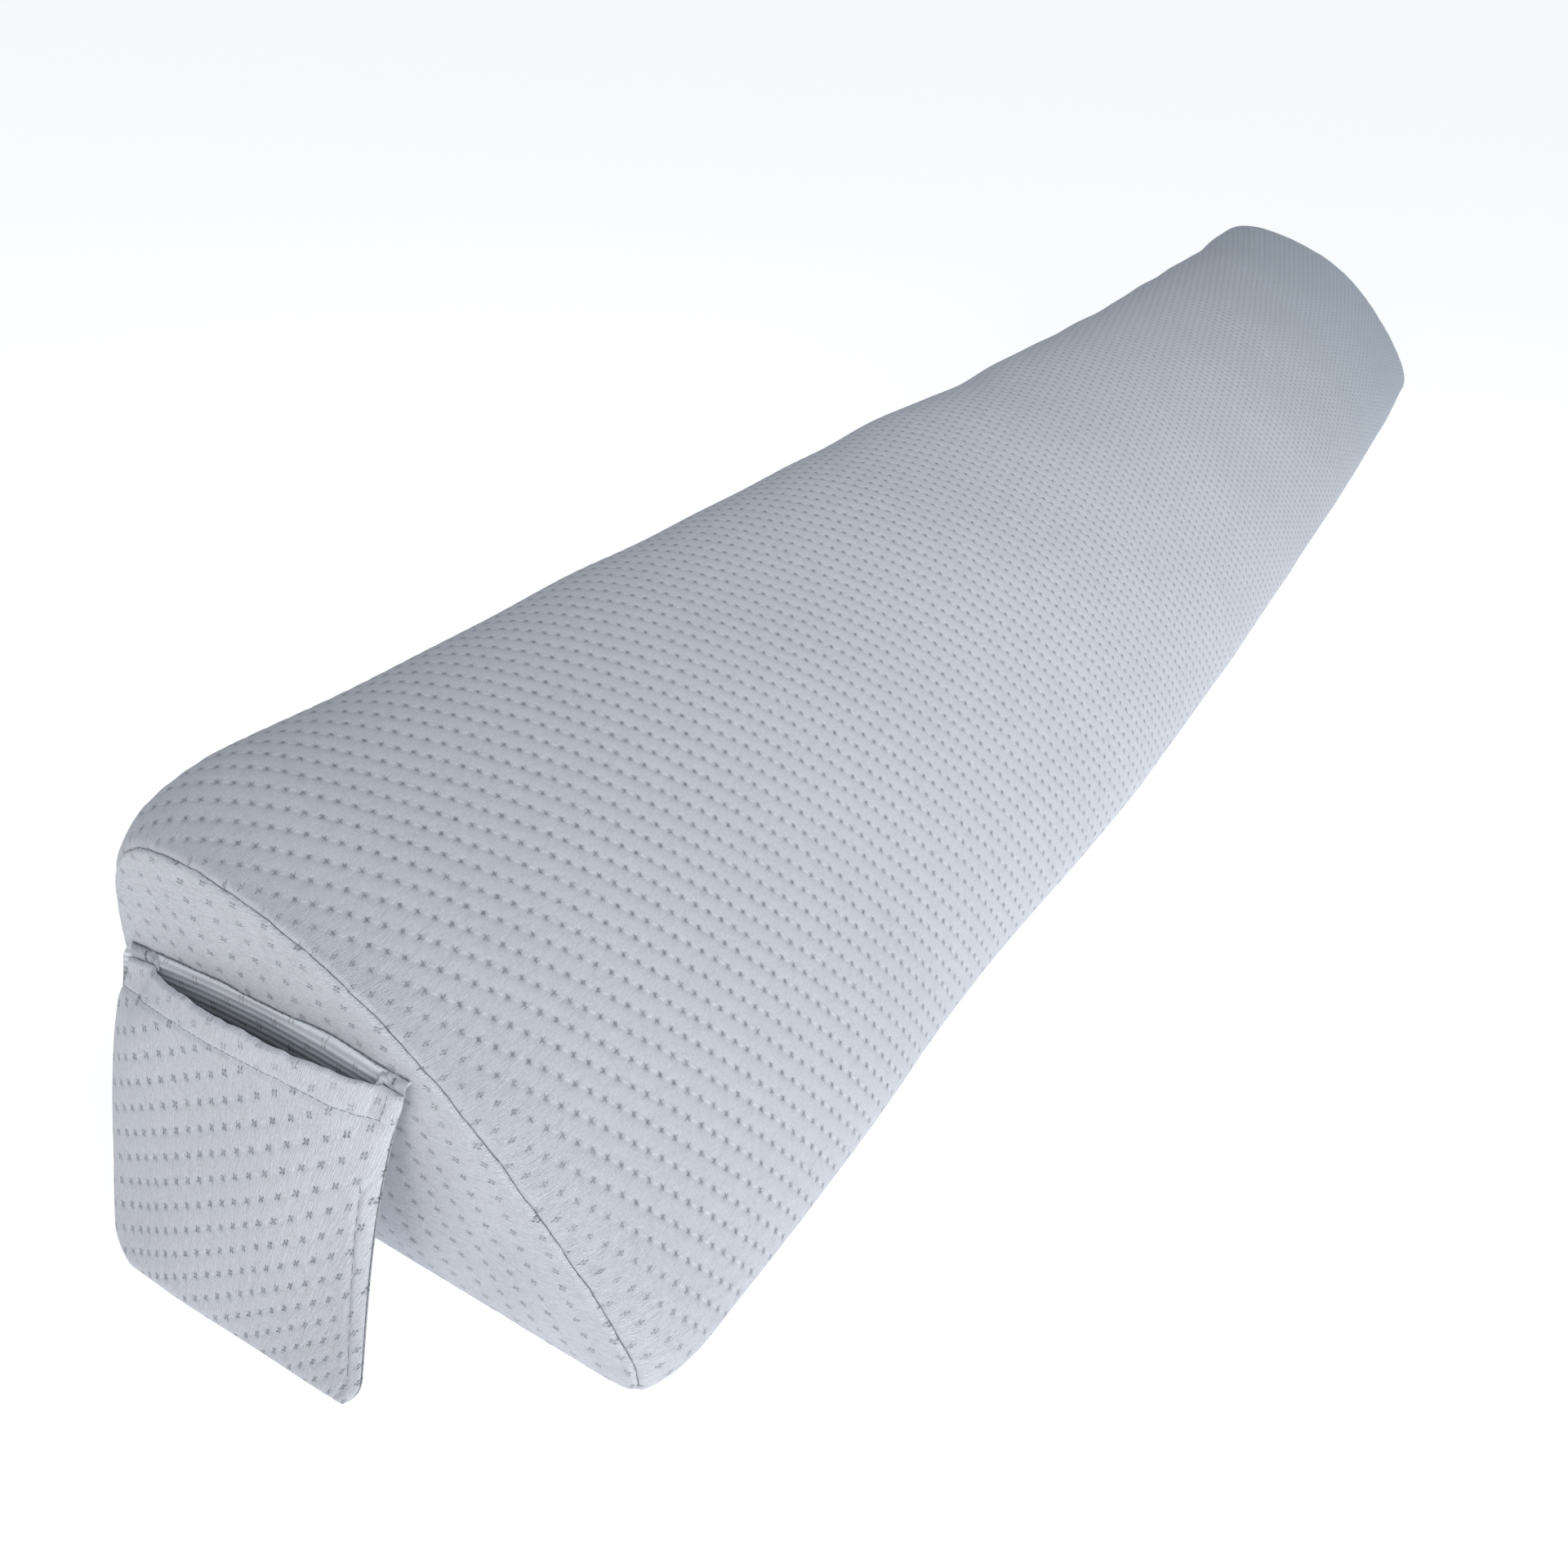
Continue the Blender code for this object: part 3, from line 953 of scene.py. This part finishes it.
PLACES, DOWN = round_places()
PLACE_AT_DOWN = np.concatenate([PLACES, [LAST_PLACE]])


def build_cover():
    """The knit cover over its filling, in place of the CAD wedge."""
    grid, uvs = cover_grid()
    piece = turn_out(capped_tube("knit_cover", grid, uvs, [cover_knit]))
    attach(piece, "root")
    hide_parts("wedge_body")


# The sewn end panels


def seam_ring(side, columns):
    """Even distances round a seam, its curve in its end plane, its outward directions and angle."""
    down = DOWN[0] + (DOWN[-1] - DOWN[0]) * np.arange(columns) / columns
    curve = section_points(np.array([side * HALF]), np.interp(down, DOWN, PLACE_AT_DOWN))
    return down, curve[0], section_normals(curve)[0], SEAM_ANGLE + seam_shift(down)


def build_panel(name, node, side, columns, rings):
    """One end panel: from the seam round the edge, then inwards to the middle as a low crown.

    Each ring is the rounded edge scaled towards the middle, and stands out by one less the
    fourth power of its size. The back of the cloth repeats it a little further in.
    """
    down, curve, normal, seam = seam_ring(side, columns)
    angles = seam + (np.pi / 2 - seam) * np.linspace(0, 1, EDGE_RINGS)[:, None]
    drop, end = edge_offsets(angles, seam)
    edge = curve[None] - normal[None] * drop[..., None]
    edge[..., 1] = PANEL_PROUD - end

    spread = np.linspace(1, 0.015, rings)[1:, None, None]
    inner = END_MIDDLE + (edge[-1][None] - END_MIDDLE) * spread
    inner[..., 1] = PANEL_PROUD + END_CROWN * (1 - spread[..., 0] ** 4)
    face = np.concatenate([edge, inner])
    off_floor = smooth_step(face[..., 2], 0.001, 0.010)
    from_seam = np.linalg.norm(face[..., [0, 2]] - curve[None, :, [0, 2]], axis=-1)
    lattice = knit_places(face[..., 0], face[..., 2], PANEL_KNIT)
    slack = 0.55 * smooth_step(from_seam, 0.006, 0.03)
    start = 2.3 if side < 0 else 0.9
    relief = -dot_dimples(lattice, PANEL_KNIT, depth=0.00030, radius=0.0022) * slack
    beyond = smooth_step(from_seam, 0.0022, 0.005)
    relief = relief + seam_puckers(down, start) * np.exp(-from_seam / 0.010) * off_floor * beyond
    waves = [(0.083, 0.140, 0.0007, 0.6), (-0.051, 0.090, 0.0004, 2.2)]
    relief = relief + uneven(face[..., 0], face[..., 2], waves) * smooth_step(from_seam, 0.0, 0.03)
    face[..., 1] = face[..., 1] + relief
    back = face[::-1][:: 3].copy()
    back[..., 1] = back[..., 1] - PANEL_THICKNESS
    last = END_MIDDLE + (face[0] - END_MIDDLE) * 0.992
    last[..., 1] = face[0][..., 1] - 0.0004
    grid = np.concatenate([face[::-1], last[None], back[::-1][1:]])
    grid[..., 2] = np.maximum(grid[..., 2], 0.0004)
    grid[..., 1] = side * (HALF + grid[..., 1])

    wide = np.hstack([grid, grid[:, :1]])
    slack_rows = np.concatenate([slack[::-1], np.zeros((len(grid) - len(face), columns))])
    slack_rows = np.hstack([slack_rows, slack_rows[:, :1]])
    lattice = knit_places(wide[..., 0], wide[..., 2], PANEL_KNIT)
    uvs = cloth_uvs(lattice, slack_rows, np.ones(slack_rows.shape))
    piece = turn_out(capped_tube(name, grid, uvs, [panel_knit]))
    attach(piece, "root")
    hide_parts(node)
    return piece


def thread_radius(distance, thin, bead):
    """A thread's radius along its seam: thin midway between stitches, and more by a bead at each.

    The bead follows the cube of a cosine that is raised to run from nothing to one.
    """
    return thin + bead * (0.5 + 0.5 * np.cos(2 * np.pi * distance / SEAM_STITCH)) ** 3


def build_end_seam(name, side):
    """The thread in the groove of an end seam: a thin closed tube with a bead at each stitch."""
    down, curve, normal, seam = seam_ring(side, SEAM_COLUMNS)
    drop, end = edge_offsets(seam, seam)
    sink = 0.00005
    middle = curve - normal * (drop + sink)[:, None]
    middle[:, 1] = HALF + PANEL_PROUD - end - sink
    middle[:, 2] = np.maximum(middle[:, 2], 0.0008)
    out = unit(normal + np.array([0.0, 1.0, 0.0]))
    other = unit(np.cross(out, np.roll(middle, -1, axis=0) - np.roll(middle, 1, axis=0)))
    radius = thread_radius(down, thin=0.00032, bead=0.00010)
    rings = round_thread(middle, out, other, radius)
    rings[..., 1] = side * rings[..., 1]
    quads = grid_corners(SEAM_COLUMNS, 6, True, True)
    # The thread's dark colour is partly painted shade of the seam's groove.
    piece = turn_out(add_piece(name, rings.reshape(-1, 3), [quads], None, [seam_thread_and_shade]))
    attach(piece, "root")
    return piece


# The pocket


def pocket_sides(down, gathered=0.0):
    """Where the pocket's left and right edges run, from its top (0) to its foot (1).

    The front layer is gathered at its mouth, so that its ends lie further to the nose there.
    """
    corner = POCKET_CORNER * np.maximum(0.0, (down - 1 + CORNER_SHARE) / CORNER_SHARE) ** 2
    swell = POCKET_SWELL * np.sin(np.pi * np.clip(down / 0.75, 0, 1))
    left = POCKET_LEFT + POCKET_LEFT_TAPER * down ** 3 + corner - swell
    waist = POCKET_WAIST * np.sin(np.pi * np.minimum(down, 1.0))
    right = POCKET_LEFT + POCKET_WIDTH + POCKET_RIGHT_FLARE * down - waist - corner
    pull = gathered * (1 - smooth_step(down, 0.07, 0.16))
    return left + pull * MOUTH_PULL[0], right + pull * MOUTH_PULL[1]


def pocket_points(across, down, lift, gathered=0.0):
    """Points of the pocket: a sheet that hangs, then swings out on a power curve of its drop."""
    left, right = pocket_sides(down, gathered)
    x = left + (right - left) * across
    top = POCKET_TOP + MOUTH_RISE * across + MOUTH_ARCH * np.sin(np.pi * across)
    drop = top - POCKET_FOOT
    depth = np.maximum(down, 0.0) * (1 - FOOT_SLANT * across * across)
    reach = POCKET_START + POCKET_REACH * depth ** POCKET_SWING_POWER
    slope = POCKET_SWING_POWER * POCKET_REACH * depth ** (POCKET_SWING_POWER - 1)
    size = np.hypot(slope, drop)
    height = top - drop * depth + lift * slope / size
    return np.stack([x, -HALF - reach - lift * drop / size, height], axis=-1)


def pocket_arc(down):
    """How far down the hanging sheet a share of its drop lies, in metres."""
    dense = np.linspace(0, 1.1, 600)
    reach = POCKET_REACH * dense ** POCKET_SWING_POWER
    steps = np.hypot(np.diff(reach), np.diff(dense) * (POCKET_TOP + 0.006))
    return np.interp(down, dense, np.concatenate([[0.0], np.cumsum(steps)]))


def open_share(across):
    """One along the mouth's opening and nothing at its sewn corners: a power of half a sine."""
    share = np.clip((across - OPENING[0]) / (OPENING[1] - OPENING[0]), 0, 1)
    return np.sin(np.pi * share) ** 0.6


def front_lift(across, down):
    """How far the front layer stands off: least at its sewn edges and corners, most at its lip."""
    sides = np.sin(np.pi * np.clip(across, 0, 1)) ** 0.6
    near_lip = 1 - smooth_step(down, 0.0, 0.35)
    gape = MOUTH_GAPE * (1 - down) * (sides + (open_share(across) - sides) * near_lip)
    belly = POCKET_BELLY * np.sin(np.pi * down ** 0.8)
    return SHEET - 0.0003 + gape + sides * belly


def lip_droop(across, down):
    """How much the lip hangs, as a share of the drop: less towards its right end."""
    deep = LIP_DROOP[0] + (LIP_DROOP[1] - LIP_DROOP[0]) * smooth_step(across, 0.35, 0.5)
    return deep / POCKET_TOP * (1 - down)


def hem_line(across):
    """How far under the lip the hem is stitched, in metres: a little more towards both ends."""
    return HEM * (1 + 0.16 * (2 * across - 1) ** 2)


def rolled(distance, radius):
    """Rounding of an edge: a quarter circle of the distance from it."""
    share = np.clip(distance / radius, 0.0, 1.0)
    return np.sqrt(1 - (1 - share) ** 2)


def close_to_edges(count, share):
    """Numbers from 0 to 1 that lie closer together at both ends."""
    even = np.linspace(0, 1, count)
    return (1 - share) * even + share * (0.5 - 0.5 * np.cos(np.pi * even))


def lip_wave(across):
    """The lip's uneven edge, in metres: small waves between stitches."""
    waves = [(0.118, 0.00030, 0.9), (0.071, 0.00024, 2.0), (0.043, 0.00014, 0.3), (0.240, 0.00045, 3.3)]
    return ripples(across, waves) * np.sin(np.pi * across) ** 0.5


def pocket_layer(columns, rows, gathered):
    """Places over one layer of the pocket, and what both layers are shaped by.

    The places across and down are each close together at the edges. The roll thins the layer
    at its sides and foot, by a quarter circle of the distance from each.
    """
    across = close_to_edges(columns, ACROSS_SHARE)[None, :] * np.ones((rows, 1))
    down = close_to_edges(rows, DOWN_SHARE)[:, None] * np.ones((1, columns))
    arc = pocket_arc(down)
    left, right = pocket_sides(down, gathered)
    to_side = np.minimum(across, 1 - across) * (right - left)
    to_foot = pocket_arc(np.array(1.0)) - arc
    roll = rolled(to_side + 0.0002, LAYER_ROLL) * rolled(to_foot + 0.0002, LAYER_ROLL)
    x = left + (right - left) * across
    return across, down, arc, right - left, to_side, roll, x, knit_places(x, arc, POCKET_KNIT)


def pocket_front_grids():
    """Outer and inner faces of the front layer, with its UV maps."""
    across, down, arc, width, to_side, roll, x, lattice = pocket_layer(columns=132, rows=112, gathered=1.0)
    droop = lip_droop(across, down)
    hem = hem_line(across)
    lip = rolled(arc + 0.00005, 0.0013)
    in_hem = 1 - smooth_step(arc - hem, -0.0004, 0.0012)
    groove = np.exp(-((arc - hem) / 0.0012) ** 2)
    to_right = (1 - across) * width
    side_seam = SIDE_SEAM * smooth_step(arc, 0.034, 0.012)
    side_groove = np.exp(-((to_right - side_seam) / 0.0010) ** 2) * smooth_step(arc, 0.032, 0.008)
    slack = 0.60 * smooth_step(to_side, 0.0, 0.02) * smooth_step(arc, hem, 0.02)
    pulls = uneven(x, arc * 0.2, [(0.0087, 1.0, 0.00007, 0.2), (0.0131, 1.0, 0.00012, 1.7)])
    soft = uneven(x, arc, [(0.115, 0.170, 0.0011, 0.4), (-0.064, 0.110, 0.0006, 2.4)])
    lift = front_lift(across, down)
    outer = lift + SHEET + 0.0004 * in_hem - 0.0009 * groove - 0.0008 * side_groove
    outer = outer + pulls * np.exp(-np.abs(arc - hem) / 0.006)
    outer = outer + soft * smooth_step(to_side, 0.0, 0.025) * smooth_step(arc, 0.0, 0.02)
    outer = outer - dot_dimples(lattice, POCKET_KNIT, depth=0.00035, radius=0.0021) * slack
    thickness = KNIT_THICKNESS * (1 + 0.9 * in_hem)
    inner = outer - thickness
    middle = (outer + inner) / 2
    outer, inner = middle + (outer - middle) * lip, middle + (inner - middle) * lip
    outer = SEAM_LIFT + 0.0002 + (outer - SEAM_LIFT) * roll
    inner = SEAM_LIFT + 0.0001 + np.maximum(inner - SEAM_LIFT, 0.0001) * roll
    wave = lip_wave(across) * np.exp(-arc / 0.007)
    shift = droop + wave / POCKET_TOP
    faces = [pocket_points(across, down + shift, value, 1.0) for value in (outer, inner)]
    return faces[0], faces[1], cloth_uvs(lattice, slack, arc)


def panel_depth(panel, x, z):
    """Where the near panel's face lies along Y at given places: its nearest point's."""
    points = np.empty(len(panel.data.vertices) * 3, dtype=np.float32)
    panel.data.vertices.foreach_get("co", points)
    points = points.reshape(-1, 3)
    points = points[points[:, 1] < -HALF - PANEL_PROUD]
    away = (points[None, :, 0] - x.reshape(-1, 1)) ** 2 + (points[None, :, 2] - z.reshape(-1, 1)) ** 2
    return points[away.argmin(axis=1), 1].astype(float).reshape(x.shape)


def pocket_back_grids(panel):
    """Inner and rear faces of the back layer, with its UV maps.

    Its top edge is drawn onto the end panel, round a quarter circle of the distance down.
    """
    across, down, arc, _, _, roll, _, lattice = pocket_layer(columns=112, rows=96, gathered=0.0)
    front = SHEET - 0.0004
    rear = front - KNIT_THICKNESS
    front = SEAM_LIFT - 0.0001 + (front - SEAM_LIFT) * roll
    rear = SEAM_LIFT - 0.0003 + (rear - SEAM_LIFT) * roll
    lower = down + BACK_DROP / POCKET_TOP * (1 - down)
    faces = [pocket_points(across, lower, value) for value in (front, rear)]
    top = faces[0][0]
    top_y = panel_depth(panel, top[:, 0], top[:, 2])
    for face, lift in zip(faces, (0.0003, -0.0006)):
        face[..., 1] += (top_y - lift - face[..., 1]) * (1 - rolled(arc, TUCK))
    return faces[0], faces[1], cloth_uvs(lattice, 0.0 * arc, arc)


def build_pocket(panel):
    """Both layers of the pocket, in place of the CAD ones, and what is sewn at the mouth."""
    outer, inner, front_uvs = pocket_front_grids()
    face, rear, back_uvs = pocket_back_grids(panel)
    hem_pieces = build_hem_stitches(outer)
    front = two_sided_sheet("pocket_front_cloth", outer, inner, front_uvs, [pocket_knit, pocket_reverse])
    top_pieces = build_mouth_line(face) + build_corner_tabs(face, inner)
    back = two_sided_sheet("pocket_back_cloth", face, rear, back_uvs, [pocket_reverse, pocket_knit])
    for piece, node, slot in (
        (front, "pocket_front", "pocket_knit"),
        (back, "pocket_back", "pocket_lining_side"),
    ):
        turn_out(piece)
        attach(piece, "root")
        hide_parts(node)
    return front, back, hem_pieces, top_pieces


def on_grid(grid, across, down_metres):
    """Points on a layer of the pocket at places across it and distances down it, by straight blends."""
    rows, columns = grid.shape[:2]
    even_across, even_down = close_to_edges(columns, ACROSS_SHARE), close_to_edges(rows, DOWN_SHARE)
    column = np.interp(across, even_across, np.arange(columns))
    row = np.interp(down_metres, pocket_arc(even_down), np.arange(rows))
    c0 = np.minimum(column.astype(int), columns - 2)
    r0 = np.minimum(row.astype(int), rows - 2)
    c, r = (column - c0)[:, None], (row - r0)[:, None]
    upper = grid[r0, c0] * (1 - c) + grid[r0, c0 + 1] * c
    lower = grid[r0 + 1, c0] * (1 - c) + grid[r0 + 1, c0 + 1] * c
    return upper * (1 - r) + lower * r


def off_pocket(along):
    """Directions off the pocket's face, square to a line along it."""
    return unit(np.cross(along, np.cross(np.array([[0.0, -1.0, 0.15]]), along)))


def lay_stitches(name, points, pitch, lift, size, material):
    """Stitches along a line of points on the cloth, each laid with its length along the line."""
    steps = np.concatenate([[0.0], np.cumsum(np.linalg.norm(np.diff(points, axis=0), axis=1))])
    stops = np.arange(pitch / 2, steps[-1], pitch)

    def at(places):
        return np.stack([np.interp(places, steps, points[:, k]) for k in range(3)], axis=-1)

    along = unit(at(stops + pitch * 0.3) - at(stops - pitch * 0.3))
    out = off_pocket(along)
    piece = stitch_row(name, at(stops) + out * lift, along, out, size, material)
    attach(piece, "root")
    return piece


def build_hem_stitches(outer):
    """The top-stitching under the lip and the short upright row at its right end."""
    across = np.linspace(0.012, HEM_END, 500)
    hem_down = hem_line(across) - 0.0010 * smooth_step(across, 0.93, 0.04)
    end_down = np.linspace(0.0012, hem_line(HEM_END) - 0.001, 80)
    side_down = np.linspace(0.040, 0.108, 200)
    dense = np.linspace(0, 1, 200)
    left, right = pocket_sides(np.interp(side_down, pocket_arc(dense), dense))
    rows = [
        ("hem", across, hem_down, 0.0030, 0.0, HEM_STITCH),
        ("end", HEM_END + 0.004 * end_down / HEM, end_down, 0.0030, 0.0, HEM_STITCH),
        ("side", 1 - SIDE_SEAM / (right - left), side_down, 0.0056, -0.0001, SIDE_STITCH),
    ]
    made = []
    for name, places, down, pitch, lift, size in rows:
        line = on_grid(outer, places, down)
        made.append(lay_stitches(f"pocket_{name}_stitches", line, pitch, lift, size, stitch_thread))
    return made


def thread_along(name, points, radius, material):
    """A thin closed tube along a line of points, whose radius may vary."""
    along = unit(np.gradient(points, axis=0))
    out = off_pocket(along)
    rings = round_thread(points, out, np.cross(out, along), radius)
    piece = turn_out(capped_tube(name, rings, {}, [material]))
    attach(piece, "root")
    return piece


def build_mouth_line(back):
    """The sewn line along the back layer's top edge, with small kinks between its stitches."""
    place = np.linspace(0.004, 0.996, 500)
    line = on_grid(back, place, 0.0 * place)
    kinks = ripples(place, [(0.170, 0.00018, 0.5), (0.061, 0.00010, 1.5)])
    line[:, 2] = line[:, 2] + 0.0002 + kinks
    line[:, 1] = line[:, 1] - 0.0001
    radius = thread_radius(place * POCKET_WIDTH, thin=0.00020, bead=0.00010)
    return [thread_along("pocket_top_seam", line, radius, seam_thread_and_shade)]


def build_corner_tabs(back, lip):
    """The crumpled cloth that closes the mouth at its two corners, from the top seam to the lip."""
    made = []
    for name, start, end, turn in (("left", 0.004, 0.128, 0.6), ("right", 0.915, 0.996, 2.4)):
        across = np.linspace(start, end, 60)
        share = np.linspace(0.0, 1.0, 36)[:, None, None]
        back_line = on_grid(back, across, 0.0 * across)[None]
        lip_line = on_grid(lip, across, 0.0 * across)[None] + np.array([0.0, 0.0006, -0.0006])
        face = back_line + (lip_line - back_line) * share
        x = np.broadcast_to(((across - start) * POCKET_WIDTH)[None], face.shape[:2])
        out = np.broadcast_to(share[..., 0] * 0.0075, face.shape[:2])
        creases = uneven(x, out, [
            (0.0061, 0.0090, 0.00036, turn),
            (-0.0047, 0.0052, 0.00026, 2 * turn),
            (0.0029, -0.0080, 0.00014, 3 * turn),
        ])
        open_end = (end - start) * POCKET_WIDTH - x if name == "left" else x
        rim = rolled(open_end + 0.0001, 0.0020)
        creases = creases * (0.25 + 0.75 * smooth_step(0.009 - open_end, 0.0, 0.005))
        bulge = (0.0012 * np.sin(np.pi * share[..., 0]) + creases) * rim - 0.0012 * (1 - rim)
        face = face + bulge[..., None] * unit(np.array([0.0, -0.6, 0.8]))
        rear = face + np.array([0.0, 0.0003, -0.0007])
        uvs = cloth_uvs(knit_places(x + 0.5, out, POCKET_KNIT), 0.0 * out, np.full(out.shape, -1.0))
        tab = two_sided_sheet(f"pocket_corner_{name}", face, rear, uvs, [pocket_knit, pocket_reverse])
        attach(turn_out(tab), "root")
        made.append(tab)
        rows = np.linspace(6, 30, 25).astype(int)
        tack = face[rows, 34] + np.array([0.0, -0.0002, 0.0003])
        made.append(lay_stitches(f"pocket_tack_{name}", tack, 0.0016, 0.0, TACK_STITCH, seam_thread_and_shade))
    return made


# Camera, floor and light


# How bright the surround is on every side, with what it gains towards the nose, the back and the
# near end. Then the lamps: place, aim, size in metres, spread in degrees, watts and colour.
EVEN_SURROUND = 0.20
NOSE_SURROUND = 0.28
BACK_SURROUND = 0.20
NEAR_SURROUND = 0.405
LAMPS = [
    {"name": "key_light", "place": (2.2, -1.4, 0.95), "aim": (0.05, -0.4, 0.05), "size": 1.2,
     "spread": 180, "watts": 14.3, "colour": (1.0, 0.99, 0.985)},
    {"name": "side_light", "place": (2.2, -0.3, 0.60), "aim": (0.05, -0.3, 0.05), "size": 0.8,
     "spread": 50, "watts": 1.10, "colour": (1.0, 0.95, 0.92)},
    {"name": "top_light", "place": (0.9, -0.3, 2.0), "aim": (0.0, -0.2, 0.1), "size": 1.0,
     "spread": 60, "watts": 1.18, "colour": (0.81, 0.88, 1.0)},
    {"name": "end_light", "place": (0.3, -2.6, 0.60), "aim": (0.0, -0.77, 0.06), "size": 0.8,
     "spread": 180, "watts": 5.4, "colour": (1.0, 0.84, 0.75)},
]


def place_camera():
    """The photo's view. The turn takes the row frame to right, down and forward."""
    turn = Vector((2.0714, 0.5931, -0.2698))
    to_view = Matrix.Rotation(turn.length, 3, turn.normalized())
    right, down, forward = to_view
    camera = bpy.data.objects.new("photo_view", bpy.data.cameras.new("photo_view"))
    camera.data.lens = 30.25
    camera.data.sensor_width = 36.0
    camera.data.clip_start = 0.02
    camera.data.clip_end = 50.0
    columns = Matrix((right, -down, -forward)).transposed().to_4x4()
    camera.matrix_world = Matrix.Translation((0.27098, -0.97257, 0.42042)) @ columns
    bpy.context.scene.collection.objects.link(camera)
    bpy.context.scene.camera = camera


def add_lamp(row):
    """One soft square light that looks at a point, and falls off to its sides by its spread."""
    light = bpy.data.lights.new(row["name"], "AREA")
    light.size = row["size"]
    light.spread = math.radians(row["spread"])
    light.energy = row["watts"]
    light.color = row["colour"]
    lamp = bpy.data.objects.new(row["name"], light)
    lamp.location = row["place"]
    way = Vector(row["aim"]) - Vector(row["place"])
    lamp.rotation_euler = way.to_track_quat("-Z", "Y").to_euler()
    bpy.context.scene.collection.objects.link(lamp)


def set_surround():
    """A plain surround: palest at the near end, less so at both long sides, darkest at the far end.

    Its strength is an even part and one term a side: the direction's part towards that side.
    """
    bpy.context.scene.world = bpy.data.worlds.new("surround")
    paint = Paint(bpy.context.scene.world)
    way = paint.node("ShaderNodeTexCoord").outputs["Generated"]
    x, y = paint.split(way)
    total = EVEN_SURROUND
    for part, strength in ((x, NOSE_SURROUND), (x, -BACK_SURROUND), (y, -NEAR_SURROUND)):
        total = paint.maths("MAXIMUM", part * strength, 0.0) + total
    light = {"Color": (0.93, 0.965, 1.0, 1.0), "Strength": total}
    glow = paint.node("ShaderNodeBackground", {}, light).outputs["Background"]
    paint.node("ShaderNodeOutputWorld", {}, {"Surface": glow})


def set_stage():
    """Plain pale floor, the surround and the soft lamps."""
    half = 60.0
    corners = np.array([(-half, -half), (half, -half), (half, half), (-half, half)])
    points = np.column_stack([corners, np.full(4, -FLOOR_DROP)])
    floor = add_piece("floor", points, [np.array([[0, 1, 2, 3]])], None, [floor_paint()])
    set_surround()
    for row in LAMPS:
        add_lamp(row)
    bpy.context.scene.view_settings.view_transform = "Standard"
    bpy.context.scene.view_settings.look = "None"


# Put together

place_camera()
set_stage()
build_cover()
near_panel = build_panel("end_panel_near_cloth", "end_panel_near", side=-1, columns=480, rings=56)
far_panel = build_panel("end_panel_far_cloth", "end_panel_far", side=1, columns=240, rings=30)
near_seam = build_end_seam("end_seam_near", side=-1)
far_seam = build_end_seam("end_seam_far", side=1)
pocket_front, pocket_back, hem_pieces, top_pieces = build_pocket(near_panel)
